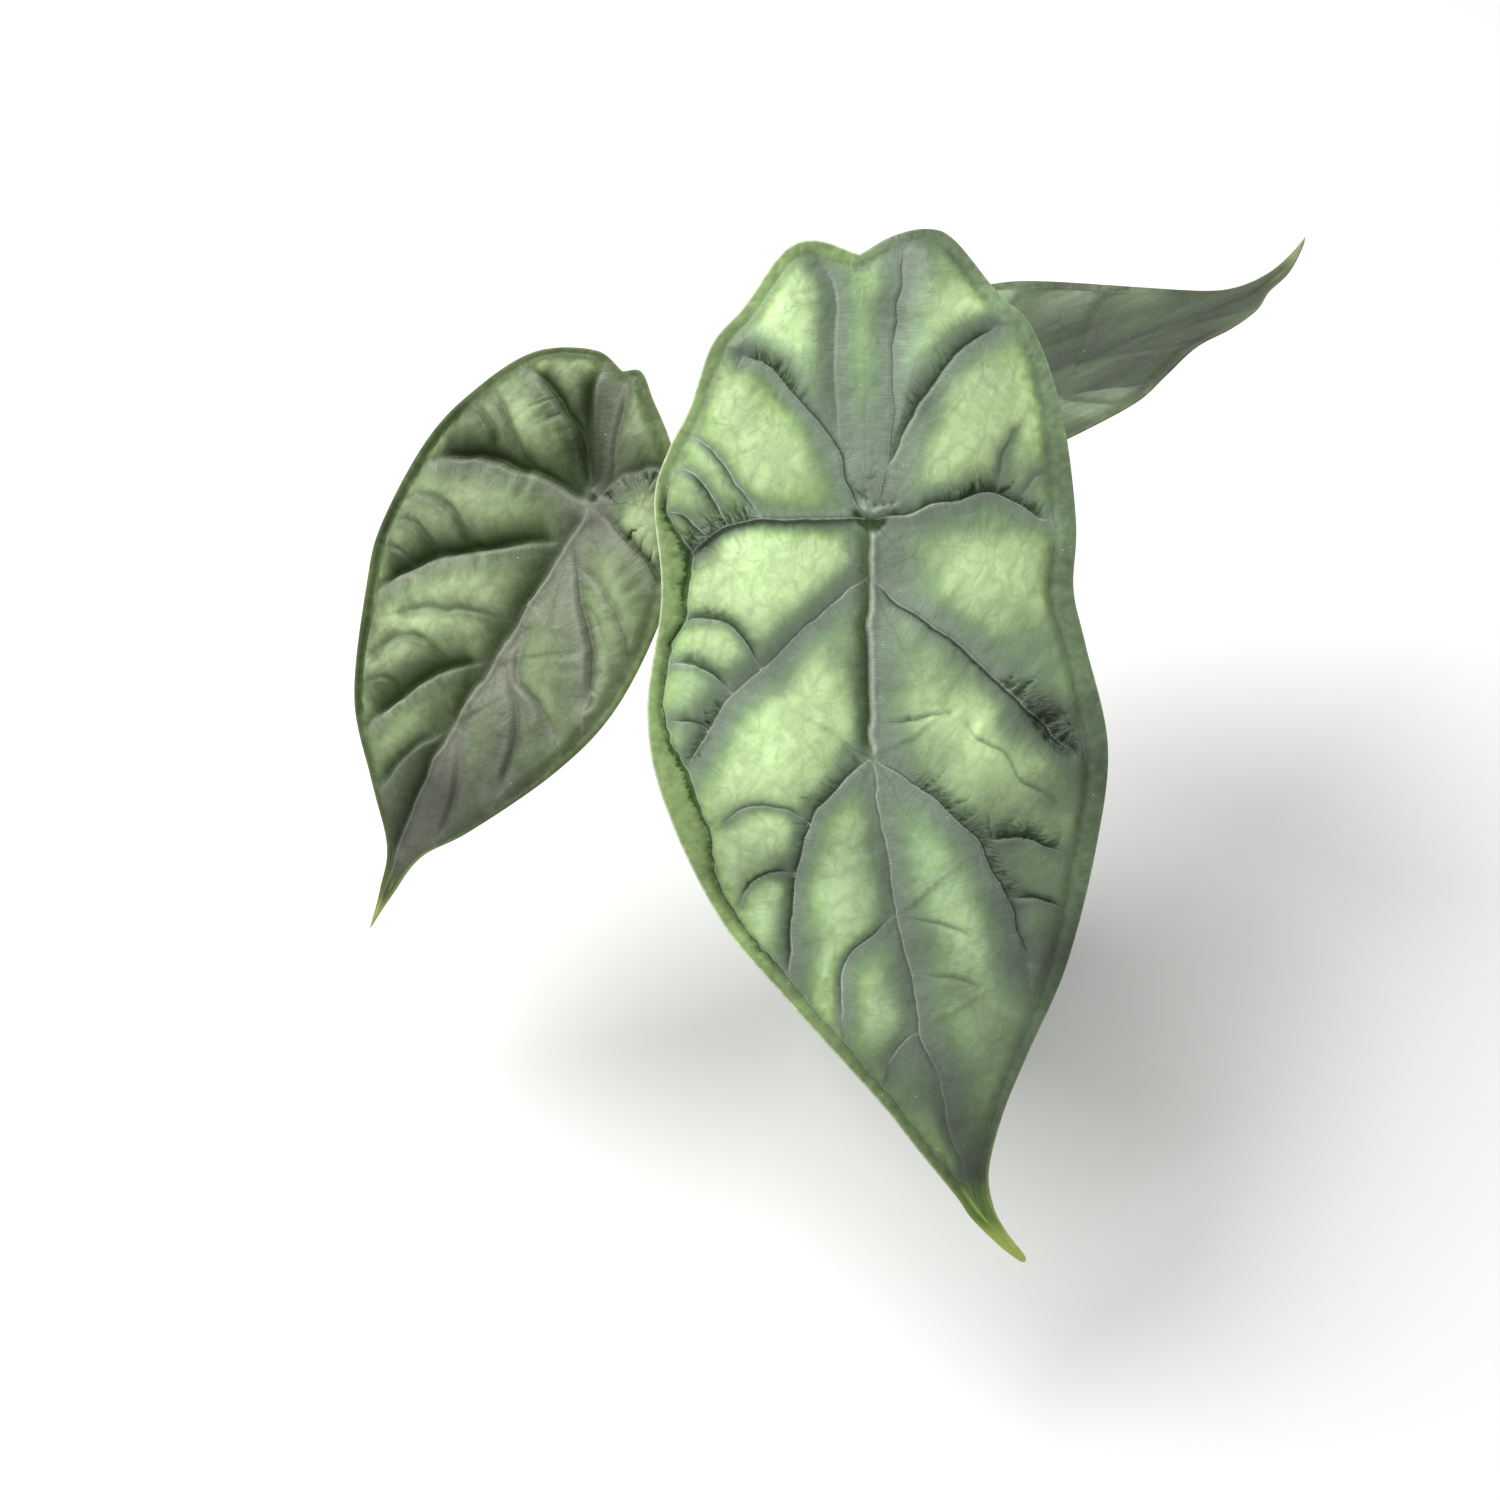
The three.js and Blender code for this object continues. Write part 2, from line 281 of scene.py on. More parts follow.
def nearest_on(path, x, y):
    """Each point's distance from the path, its side of the path and how far along it lies."""
    nearest = np.full(x.shape, np.inf)
    side = np.zeros(x.shape)
    along = np.zeros(x.shape)
    reached = 0.0
    for start, end in zip(path, path[1:]):
        run = end - start
        length = math.hypot(*run)
        dx = x - start[0]
        dy = y - start[1]
        share = np.clip((dx * run[0] + dy * run[1]) / length**2, 0, 1)
        away = (dx - share * run[0]) ** 2 + (dy - share * run[1]) ** 2
        closer = away < nearest
        nearest = np.where(closer, away, nearest)
        side = np.where(closer, np.sign(run[0] * dy - run[1] * dx), side)
        along = np.where(closer, reached + share * length, along)
        reached += length
    return np.sqrt(nearest), side, along, reached


# A row of puckers that cross a vein: on one side of it, from one share of its length to another,
# how deep they are, how far apart and how far they reach from the vein
Puckers = namedtuple("Puckers", "side start end depth spacing reach")

# A vein of a blade. Its points are [across, tipward] from the hub. fold is the side where the
# panel dives under the vein's lip: for a vein that runs to the left margin 1 is the lobes' side,
# and for one that runs to the right margin it is the tip's. depth is how deep it dives, pinch how
# much the panels flatten there, widths how far the panels take to rise and greys how far the grey
# band reaches, each first on the folded side and then on the other. dark is how dark the painted
# shade on the fold's shaded side is and shade how far that reaches. line is how clearly the vein
# shows as a thin pale ridge, its paleness partly a painted highlight, and lip is its share of the
# blade's lip height.
Vein = namedtuple("Vein", "points fold depth pinch widths greys dark shade line lip puckers")


def main_vein(
    points, fold, depth, greys=(3, 5), dark=0.8, shade=0.8, line=0.8, lip=1.0, puckers=(), rise=3.2,
):
    dark = min(dark, depth)
    return Vein(points, fold, depth, 1.0, (rise, 9.0), greys, dark, shade, line, lip, puckers)


def side_vein(points, fold, depth, greys=(1.2, 1.6), dark=0.8, shade=0.8, line=0.6, puckers=()):
    dark = min(dark, depth)
    return Vein(points, fold, depth, 0.45, (1.8, 4.2), greys, dark, shade, line, 1.0, puckers)


def crease(points, depth=0.35):
    return Vein(points, 1, depth, 0.12, (1.0, 2.0), (0.5, 0.5), depth, 0.4, 0.0, 1.0, ())


def fine_puckers(side, start, end, depth):
    return Puckers(side, start, end, depth, 1.8, 4.0)


def broad_puckers(side, start, end, depth):
    return Puckers(side, start, end, depth, 6.5, 11.0)


FRONT_VEINS = [
    main_vein([(0, 0), (-0.5, 17), (-0.5, 38), (0.5, 50)], 1, 1.3, greys=(3, 8), dark=0.45, shade=1.4,
        line=0.0),
    main_vein([(0.5, 50), (2, 60), (5, 80.5), (8, 93), (10.5, 107), (14.5, 118)], 1, 0.5,
        greys=(3.6, 5), line=0.6),
    main_vein([(12.6, 113), (14.5, 118), (17.2, 129), (20.5, 138)], 1, 0.3, greys=(1.8, 3.6), dark=0.2,
        line=0.35),
    main_vein([(0, 0), (-10, 0.5), (-22.5, 0), (-30, 1.5), (-35.5, 6), (-38, 8)], -1, 1.2, rise=5.5,
        greys=(2, 2.8), dark=0.6, shade=3.6, line=1.0, puckers=[fine_puckers(1, 0.6, 1.0, 1.0)]),
    main_vein([(-1, 12), (-3.5, 14.5), (-16, 25), (-20.5, 30), (-29.5, 37.5), (-34, 44.5), (-38, 51.5)],
        1, 0.4, greys=(4.5, 5), puckers=[Puckers(1, 0.72, 1.0, 0.9, 1.3, 2.2),
        Puckers(-1, 0.85, 1.0, 0.7, 1.3, 1.4)]),
    main_vein([(0.5, 50), (-3, 52.5), (-11.5, 61), (-13.5, 68), (-15.5, 74), (-16, 81), (-16.5, 95)], 1,
        1.1, greys=(3, 3.2), shade=1.28, puckers=[fine_puckers(1, 0.0, 0.45, 0.5)]),
    main_vein([(5, 83), (-0.5, 87.5), (-4, 90.5), (-6, 96), (-6, 105)], 1, 0.6, greys=(1.5, 3)),
    main_vein([(10.5, 107), (7, 109.5), (4.5, 113.5)], 1, 0.4, greys=(2, 3)),
    main_vein([(-1, -0.5), (-2.6, -2), (-4.2, -5.6), (-6.2, -13), (-9, -18), (-15, -25), (-20, -30.5),
        (-26.5, -34.5)], 1, 0.8, greys=(5, 2.4), line=0.45,
        puckers=[Puckers(1, 0.65, 0.95, 1.0, 2.4, 2.8)]),
    main_vein([(-6.5, -15), (-7, -30), (-7, -47), (-9.5, -54)], -1, 0.2, greys=(4.5, 3.5), line=0.15),
    main_vein([(1.4, -1.5), (2.4, -6), (3.2, -10), (4.5, -21.5), (4.5, -35.5), (6, -47), (7, -57)], 1,
        0.25, greys=(5.5, 4.5), line=0.3),
    main_vein([(3.2, -10), (8, -19), (13, -28), (19.5, -35.5), (27, -40)], -1, 0.9, greys=(5, 3.2),
        shade=1.44, line=0.45, puckers=[fine_puckers(-1, 0.15, 0.65, 0.5)]),
    main_vein([(1, 0.2), (6.6, -0.6), (12.4, -2.6), (20.4, -4.6), (25.6, -5.3), (29, -3.8),
        (34.8, -0.9), (38, -0.1)], -1, 1.2, greys=(3, 3.6), shade=1.4,
        puckers=[Puckers(-1, 0.38, 0.68, 1.0, 1.8, 2.8), Puckers(-1, 0.72, 0.95, 0.8, 1.8, 2.4)]),
    main_vein([(1, 13), (6.5, 18), (16, 24.5), (23.5, 31), (31, 38.3), (34.2, 41.1), (36.7, 43),
        (38.5, 45.5), (42, 48)], 1, 0.9, greys=(3.6, 6.5),
        puckers=[Puckers(-1, 0.66, 1.0, 1.15, 2.1, 5.0), Puckers(-1, 0.62, 1.0, 0.8, 1.1, 3.0),
        Puckers(1, 0.8, 1.0, 0.8, 1.4, 2.0)]),
    main_vein([(0.5, 50), (7, 54), (14.5, 59.5), (18.5, 63), (22, 67), (24, 70.5), (27, 76), (29.5, 81),
        (31, 86.5), (32.5, 92)], -1, 0.6, greys=(3, 5.5), puckers=[fine_puckers(-1, 0.15, 0.75, 0.8)]),
    side_vein([(-22.5, -0.5), (-27, -6), (-31.5, -13), (-36, -16.5)], -1, 0.6, greys=(1.6, 1.6),
        shade=1.0, line=0.9),
    side_vein([(-29.5, 1), (-32.5, -4), (-35.5, -8), (-38.5, -10.5)], -1, 0.9, greys=(1.6, 1.6),
        shade=1.4, line=1.0),
    side_vein([(-33.5, 4), (-36, 1.5), (-38.5, -0.5), (-41, -1)], -1, 0.9, greys=(1.6, 1.6), shade=1.4,
        line=1.0),
    side_vein([(-22.5, 31), (-26, 26), (-28.5, 22.5), (-31, 21.5), (-35, 21), (-39, 21.5)], 1, 0.8,
        greys=(2.5, 1.6), shade=1.76, puckers=[fine_puckers(1, 0.5, 1.0, 0.4)]),
    side_vein([(-28.5, 36), (-31.5, 33.5), (-33.5, 32), (-36.5, 30.5), (-41, 30.5)], 1, 0.8,
        greys=(2.5, 1.6), shade=1.76, puckers=[fine_puckers(1, 0.3, 1.0, 0.4)]),
    side_vein([(-34, 44), (-36.5, 42.5), (-41, 42)], 1, 0.8, greys=(2.5, 1.6), shade=1.76),
    side_vein([(-15.5, 74), (-21.5, 74), (-25, 76.5), (-27, 80.5)], 1, 0.9),
    side_vein([(-13, 63), (-18, 60.5), (-25.5, 60), (-30, 63)], 1, 0.5),
    side_vein([(23.5, 67), (27, 66.5), (30.5, 66), (34, 66.5), (37, 68), (40, 69.5)], -1, 1.5,
        shade=1.28, puckers=[fine_puckers(-1, 0.15, 0.9, 0.8)]),
    side_vein([(29, 79), (31, 79), (34.5, 79), (37, 80), (39.5, 81.5)], -1, 1.3, shade=1.28),
    side_vein([(26, -5.3), (27, -8.9), (28, -13.5), (30, -18)], -1, 0.3, shade=2.5, line=0.1),
    side_vein([(31, -3.2), (33, -6.5), (35, -9.2), (39, -10)], -1, 0.3, shade=2.5, line=0.1),
    crease([(-3.2, -6.8), (-1.8, -5.4), (-0.4, -4.4), (0.2, -3.2)], 0.6),
    crease([(0.1, -6.2), (-0.9, -4.8), (-1.4, -3.4)], 0.6),
    crease([(-0.8, -9.4), (0.7, -9.0), (1.4, -9.8)], 0.4),
    crease([(1.5, 42), (7.5, 41.5), (13, 40.5), (16, 40.5)]),
    crease([(19.5, 42.5), (22, 45), (26.5, 48), (29, 50.5), (31, 53.5), (34, 55.5), (38.5, 59)]),
    crease([(6.5, 82.5), (11.5, 83.5), (16, 84.5), (20, 86)]),
    crease([(10.5, 94.5), (13.5, 94.5), (18.5, 95.5), (22.5, 97)]),
]

# Places where a blade is greyer, and where painted shade darkens it; where dark is below zero, painted
# light brightens it instead. Each gives across, tipward, reach, grey and dark
FRONT_CLOUDS = [
    (-12, -56, 4, 0.2, 0.45), (10, -58, 5, 0.3, 0.3), (27, -41, 4, 0.1, 0.15), (-30, -37, 6, 0.1, 0.4),
    (37, -9, 7, 0.35, 0.05), (-4, 76, 10, 0.1, 0.12), (14, 76, 8, 0.25, 0.06), (3, 92, 8, 0.25, 0.08),
    (-36, 8, 4, 0.2, 0.35), (12, 0.5, 4, 0.4, 0.3), (20, 1, 5, 0.4, 0.35), (28, 2, 5, 0.3, 0.1),
    (37, 9, 5, 0.2, 0.25), (25, 61, 8, 0.25, 0.4), (12, -33, 6, 0.0, -0.35), (28, 72, 8, 0.2, 0.3),
    (14, 50, 6, 0.2, 0.3), (17, 34, 6, 0.2, 0.25), (36, 41, 4, 0.2, 0.5), (36, 58, 6, 0.2, 0.3),
    (-28, 64, 6, 0.1, 0.2), (-20, 72, 5, 0.2, 0.25), (12, 89, 5, 0.1, 0.3), (29, -11, 6, 0.2, 0.2),
    (37, -24, 8, -0.3, -0.3), (-34, 8, 5, -0.8, 0.15), (-27, -29, 9, 0.0, 0.22), (5, 9, 5, 0.2, 0.2),
    (-16, -36, 7, 0.0, -0.3), (2, -6, 4, 0.3, 0.25), (44, 40, 4, 0.2, 0.4), (0, -16, 10, 0.7, 0.0),
    (27, -30, 9, 0.3, 0.15), (16, -54, 9, 0.2, 0.25), (23, -47, 6, -0.2, -0.25), (-36, -2, 9, 0.3, 0.14),
    (-3, -13, 9, 0.3, -0.16), (-8, -34, 6, 0.2, -0.08), (-37, 38, 8, 0.25, 0.0), (-6, 29, 5, 0.35, 0.15),
    (9, 27, 6, 0.3, 0.1), (35, 27, 9, 0.5, 0.15), (24, -18, 15, 0.0, 0.2), (31, 44, 5, 0.3, 0.2),
    (45, 54, 13, 0.3, 0.5), (38, 73, 10, 0.45, 0.25), (36, 94, 12, 0.6, 0.58), (30, 82, 6, 0.2, 0.2),
    (20, 124, 18, 0.2, 0.55), (22, 139, 9, 0.2, 0.4), (-19, 93, 7, 0.3, 0.1), (-8, 96, 8, -0.2, -0.3),
    (-26, 76, 7, 0.25, 0.3), (-2, 114, 8, 0.4, 0.3), (-5, 68, 7, 0.2, 0.15), (42, 88, 9, 0.3, 0.42),
    (34, 112, 7, 0.3, 0.15), (-4, 48, 5, 0.0, -0.2), (20, 76, 6, 0.0, -0.25), (-27, 88, 5, 0.0, -0.25),
    (12, -24, 5, 0.3, 0.2), (21, -8, 5, 0.1, 0.15), (12, 8, 5, 0.2, 0.2), (28, 17, 6, 0.0, 0.15),
    (-20, 32, 5, 0.3, 0.2), (4, 33, 4, 0.2, 0.2), (30, 43, 5, 0.3, 0.22), (37, 40, 5, 0.2, 0.35),
    (-12, 88, 4, 0.3, 0.25), (18, 98, 5, 0.3, 0.3), (28, 107, 5, 0.1, 0.15), (-13, -46, 5, 0.0, 0.11),
    (-22, 12, 6, 0.0, -0.12), (-19, 46, 6, 0.0, -0.12), (22, 46, 4, 0.0, -0.12), (28, -47, 5, 0.0, -0.25),
    (40, 3, 5, 0.0, -0.2), (-30, 62, 6, 0.1, 0.1), (-33, 73, 6, 0.1, 0.25), (-42, -8, 4, 0.0, 0.12),
    (28, 95, 5, 0.0, -0.2), (15, 88, 6, 0.25, 0.2), (-13, 97, 5, 0.2, 0.35), (5, 97, 5, 0.2, 0.2),
    (5, 0, 3, 0.2, 0.3), (4, -44, 6, 0.3, 0.3), (15, -50, 5, 0.0, 0.24), (-36, 22, 5, 0.1, 0.2),
    (12, 16, 5, 0.0, -0.2), (44, 50, 5, 0.2, 0.35), (28, 68, 5, 0.3, 0.25), (-20, 73, 5, 0.2, 0.15),
    (24, 112, 6, 0.2, 0.2), (22, 132, 8, 0.1, 0.35), (-23, 76, 6, -0.9, 0.05), (29, 80, 5, -0.1, 0.2),
    (23, 44, 4, 0.0, -0.28), (-43, 38, 5, 0.0, -0.1), (-0.5, -39, 5, 0.0, -0.12), (24, 138, 4, 0.0, 0.5),
    (8, 121, 6, 0.45, 0.12), (27, 126, 5, 0.2, 0.15), (17, 86, 4, -0.1, -0.25), (22, 103, 5, 0.15, 0.16),
    (17, 132, 4, -0.6, -0.3), (1, 103, 5, 0.1, 0.0),
]
LEFT_CLOUDS = [
    (6, 30, 14, 0.2, 0.0), (0, 88, 20, 0.6, 0.5), (-34, -2, 9, 0.1, 0.15), (2, -16, 9, 0.5, 0.35),
    (-2, 64, 9, 0.4, 0.1), (-36, 25, 9, 0.2, 0.2), (-27, 2, 7, 0.2, 0.3), (22, 20, 14, 0.3, 0.0),
    (10, 72, 12, 0.4, 0.3), (-13, -18, 6, -0.4, 0.4), (-8, -9, 5, -0.4, 0.4), (-1, -7, 5, 0.2, 0.35),
    (-22, 11, 5, 0.2, -0.15), (-12, 10, 5, 0.2, -0.2), (-20, 36, 7, 0.1, -0.3), (-24, 43, 4, 0.0, -0.25),
    (-12, 63, 8, 0.0, -0.4), (19, 18, 7, 0.1, -0.35), (18, 60, 8, 0.5, 0.33), (25, 44, 8, 0.5, 0.1),
    (-31, 49, 5, 0.0, 0.4), (-32, 20, 5, 0.1, 0.25), (9, 52, 7, 0.3, 0.3), (20, 70, 7, 0.3, 0.4),
    (2, 73, 7, 0.2, 0.38), (-9, -23, 5, 0.0, 0.3), (6, -22, 4, 0.1, -0.5), (3, 2, 4, 0.1, 0.35),
    (-22, -12, 5, 0.1, -0.05), (24, 32, 10, 0.5, -0.2), (-23, 16, 4, 0.0, 0.4), (-15, -24, 4, 0.1, -0.2),
]
RIGHT_CLOUDS = [
    (10, 60, 70, 0.0, 0.12), (2, 30, 20, 0.4, 0.3), (0, 92, 24, 0.6, 0.3), (-20, 42, 13, 0.3, 0.5),
    (-12, 62, 9, 0.2, 0.3), (14, 61, 9, 0.1, -0.35), (33, 33, 8, 0.0, -0.75), (15, 38, 6, 0.1, 0.25),
]

# Small pits, darkened with painted shade, and knobs where the depth is below zero, lightened with painted
# light: across, tipward, reach and depth
FRONT_DENTS = [
    (-2.7, -0.8, 0.9, 1.2), (-1.7, 0.4, 1.1, 1.4), (-0.3, 1.3, 1.2, 1.5), (1.3, 1.3, 1.2, 1.4),
    (2.6, 0.9, 0.9, 0.9), (0.6, 2.7, 0.9, 1.1), (-0.9, -1.8, 0.8, -1.0), (0.7, -1.1, 0.8, -0.9),
    (2.2, -1.5, 0.9, -0.9), (3.8, -1.8, 0.9, -0.7), (5.3, -2.3, 0.8, -0.5), (1.3, -2.6, 0.45, 0.8),
    (2.9, -2.9, 0.5, 0.6), (4.6, -3.4, 0.5, 0.5), (7.5, 41.3, 0.6, 0.6), (9.5, 75, 0.6, 0.35),
    (23.5, 45.8, 0.5, 0.35), (1.0, 48.5, 1.5, -0.5), (37.2, 41.6, 0.8, 0.9), (35.7, 41.5, 0.7, 0.8),
    (33.2, 39.2, 0.5, 0.6), (35.2, 43.6, 0.6, 0.8), (37.0, 45.6, 0.7, 0.8), (38.5, 47.2, 0.6, 0.6),
]
LEFT_DENTS = [
    (-0.5, -1.8, 1.2, 0.9), (-2.5, -4.5, 1.0, 0.6), (1.6, -4.0, 0.9, 0.6), (0.8, 1.5, 1.6, -0.6),
]

LEFT_VEINS = [
    main_vein([(0, 0), (-0.8, 12.5), (-2, 32), (-3, 50), (-3.8, 63), (-3.3, 77), (-2, 91), (0, 110)], 1,
        1.6, greys=(1.5, 9), dark=0.8, shade=7, line=0.3),
    main_vein([(0, 0), (-5.5, -0.3), (-14, 0), (-20, 1.6), (-25, 2.2), (-30, 3.7), (-38, 8.5)], 1, 1.9,
        greys=(1, 6), dark=1.0, shade=9, line=0.15),
    main_vein([(-1.5, 10), (-8, 14), (-14, 18.7), (-24.7, 26.5), (-30, 33), (-35, 40)], 1, 1.9,
        greys=(1, 6), dark=1.0, shade=8, line=0.15, puckers=[broad_puckers(1, 0.2, 1.0, 0.4)]),
    main_vein([(-4, 42.5), (-10, 47.3), (-16.7, 57.8), (-21.3, 67.7)], 1, 1.7, greys=(1, 4), dark=1.0,
        shade=8, line=0.15, puckers=[broad_puckers(1, 0.2, 1.0, 0.4)]),
    main_vein([(-4.5, 60), (-8, 66), (-11, 74), (-12, 80)], 1, 1.1, greys=(1, 3), dark=0.7, shade=4,
        line=0.3),
    main_vein([(-1, -2), (-4, -5.5), (-8, -10.5), (-12.5, -13.5), (-18, -16), (-22.5, -18),
        (-28, -19.5)], 1, 1.3, greys=(1, 3), dark=1.0, shade=7, line=0.1, lip=0.7,
        puckers=[Puckers(-1, 0.25, 0.8, 0.5, 2.2, 6.0)]),
    main_vein([(-1, -2), (-3.5, -5), (-6.3, -10), (-9.7, -17), (-12.5, -24), (-13.5, -28)], -1, 1.0,
        greys=(1, 4), dark=1.0, shade=4.5, line=0.1, lip=0.3),
    main_vein([(0, -3), (0.6, -8.4), (-3, -17), (-6, -27)], 1, 0.4, greys=(1.5, 4), dark=0.35, shade=2,
        line=0.1, lip=0.3),
    main_vein([(0, 0), (2, -7), (6, -12), (10, -15), (16, -14)], -1, 1.1, greys=(1, 4), dark=0.6,
        shade=3, line=0.4, lip=0.3, puckers=[Puckers(1, 0.15, 1.0, 1.0, 2.8, 9.0)]),
    main_vein([(0, 0), (6.5, 1), (13.5, 3), (20, 5.5), (26, 9)], -1, 1.0, greys=(1.5, 5), dark=0.6,
        shade=2, line=0.3, lip=0.3, puckers=[fine_puckers(-1, 0.3, 1.0, 0.9)]),
    main_vein([(0, 7.5), (1.7, 10.5), (6.4, 16), (11, 21.3), (14, 24), (18.5, 29), (21.7, 37)], -1, 0.7,
        greys=(1.5, 6), dark=0.55, shade=1.6, line=0.1, lip=0.6,
        puckers=[Puckers(-1, 0.3, 1.0, 0.5, 3.2, 6.0)]),
    main_vein([(1, 34), (2.5, 39), (5.4, 43), (12.5, 44.6), (18.4, 48)], -1, 0.5, greys=(1.5, 4),
        dark=0.4, shade=1.4, line=0.1, lip=0.6),
    main_vein([(0, 42), (6, 46.5), (9.7, 50), (12, 56), (13.8, 65)], -1, 0.5, greys=(2.5, 4), dark=0.5,
        shade=2, line=0.1, lip=0.6, puckers=[Puckers(1, 0.35, 0.9, 0.3, 2.6, 5.0)]),
    main_vein([(-4, 58), (2, 66), (5, 76), (5, 84)], -1, 0.25, greys=(1, 3), dark=0.15, shade=1.5,
        line=0.05, lip=0.6),
    side_vein([(-25, 2.5), (-27, -2.4), (-32, -5.3), (-37.4, -6.2)], 1, 0.8, dark=0.5, shade=2.5,
        line=0.1),
    side_vein([(-15, 0), (-17, -1.5), (-22.6, -5), (-28.6, -9), (-33, -11)], 1, 0.8, dark=0.5,
        shade=2.5, line=0.1),
    side_vein([(-19, 21.5), (-23, 18.5), (-28.8, 16.5), (-33, 16.3), (-38, 18)], 1, 0.8, dark=0.6,
        shade=2.2, line=0.1),
    side_vein([(-26, 28), (-28.2, 26), (-34, 23.6), (-39, 25)], 1, 0.8, dark=0.6, shade=2.2, line=0.1),
    side_vein([(-29.5, 33.5), (-31, 31.4), (-36, 31), (-39, 32.3)], 1, 0.7, dark=0.6, shade=2.2,
        line=0.1),
    side_vein([(-2.8, 31.4), (-12, 34), (-20, 37.5), (-25.4, 41.4)], 1, 0.8, dark=0.45, shade=4.5,
        line=0.05),
    side_vein([(-10, 46.5), (-16, 45), (-22.6, 46), (-28.5, 53.8)], 1, 0.8, dark=0.5, shade=2.6,
        line=0.05),
    side_vein([(-17, 58), (-22, 57), (-27, 61)], 1, 0.7, dark=0.5, shade=2.6, line=0.05),
    side_vein([(3, 13), (12, 14), (22, 20), (27, 27)], -1, 0.5, dark=0.4, shade=1.6, line=0.2),
    crease([(4, 16), (5.5, 22), (8.5, 27)]),
    crease([(8, 20), (14, 19), (24, 26)]),
]

RIGHT_VEINS = [
    main_vein([(0, 0), (1, 30), (-1, 55), (-4, 78), (-1, 92), (2, 104)], 1, 0.35, greys=(6, 8), shade=6,
        line=0),
    main_vein([(0, 0), (-15, -1), (-27, 4), (-35, 10)], 1, 0.25, greys=(2, 5), shade=4, line=0),
    main_vein([(0.5, 12), (-12, 20), (-22, 31), (-28, 39)], 1, 0.25, greys=(2, 5), shade=4, line=0),
    main_vein([(0.5, 36), (-7, 44), (-14, 54), (-17, 64)], 1, 0.2, greys=(2, 5), shade=4, line=0),
    main_vein([(-2, 60), (-8, 68), (-11, 77)], 1, 0.2, greys=(2, 3), shade=3, line=0),
    main_vein([(0, 0), (15, -2), (28, 3), (38, 9)], -1, 0.25, greys=(2, 5), shade=4, line=0),
    main_vein([(0.5, 12), (12, 20), (24, 31), (33, 42)], -1, 0.25, greys=(2, 5), shade=4, line=0),
    main_vein([(1, 36), (8, 43), (15, 52), (18, 60)], -1, 0.2, greys=(2, 5), shade=4, line=0),
    main_vein([(-1, 58), (2, 64), (4, 72)], -1, 0.2, greys=(2, 3), shade=3, line=0),
    main_vein([(0, 0), (-6, -14), (-15, -26), (-25, -33)], 1, 0.5, greys=(2, 4), shade=2, line=0.1),
    main_vein([(0, 0), (6, -14), (16, -26), (27, -33)], -1, 0.5, greys=(2, 4), shade=2, line=0.1),
    main_vein([(0, 0), (-3.5, -12), (-4, -36)], -1, 0.3, greys=(3, 3), line=0.1),
    main_vein([(0, 0), (3.5, -12), (4, -37)], 1, 0.3, greys=(3, 3), line=0.1),
    side_vein([(-12, 20), (-20, 19), (-30, 23)], 1, 0.2, line=0),
    side_vein([(12, 20), (22, 19), (34, 24)], -1, 0.2, line=0),
]

# The flat border inside a margin: tipward place, the border's width and the reach of the dark side
# of the groove that ends it, where the groove is painted with shade
FRONT_LEFT_BORDER = [
    (-56, 3.5, 0.3), (-15, 2.9, 0.3), (-5, 2.4, 0.4), (-2, 2.4, 0.9), (2, 4, 1.2), (7.5, 6.5, 1.9),
    (13, 5.2, 2.2), (16, 4.8, 1.2), (21, 5, 0.9), (25.5, 3.5, 0.7), (31, 3.4, 0.4), (40, 3.2, 0.4),
    (45, 4.2, 0.7), (52, 6.8, 1.6), (58, 6.9, 1.4), (64, 7, 0.8), (76, 3.3, 0.5), (88, 3.2, 0.4),
    (107, 2.6, 0.3), (125, 2, 0.3),
]
FRONT_RIGHT_BORDER = [(-45, 2.6, 0.5), (-10, 4.8, 0.8), (62, 4.8, 0.8), (93, 3.2, 0.8), (125, 1.7, 0.5)]
NARROW_BORDER = [(-35, 1.4, 0.6), (-10, 2.2, 0.8), (43, 2.2, 0.8), (64, 1.5, 0.8), (86, 0.8, 0.5)]

# The blades. hub, tipward and facing place a blade as in the model, and left, right and rib are its
# margins and its midrib from the notch to the tip. droop, droop_from, hunch and cup bend it.
# valley and strip are the sunk and the pale side of the midrib, the valley darkened with painted
# shade and the strip partly a painted highlight; greyness the strength of the grey bands, ribs the
# height of the fine ribs between the veins and soft how gently a fold turns over.
# quilt is the height of the panels and lip how much of it stays at a vein's unfolded side. borders,
# the depth of their grooves and how cream their edges are come for the left and then the right.
# size is the rows of the mesh and half its columns. root_azimuth, rise and reach lead the stalk.
Blade = namedtuple(
    "Blade",
    "hub tipward facing left right rib droop droop_from hunch cup veins clouds dents valley strip "
    "greyness ribs soft quilt lip borders grooves cream streaks gloss size seed "
    "root_azimuth rise reach",
)

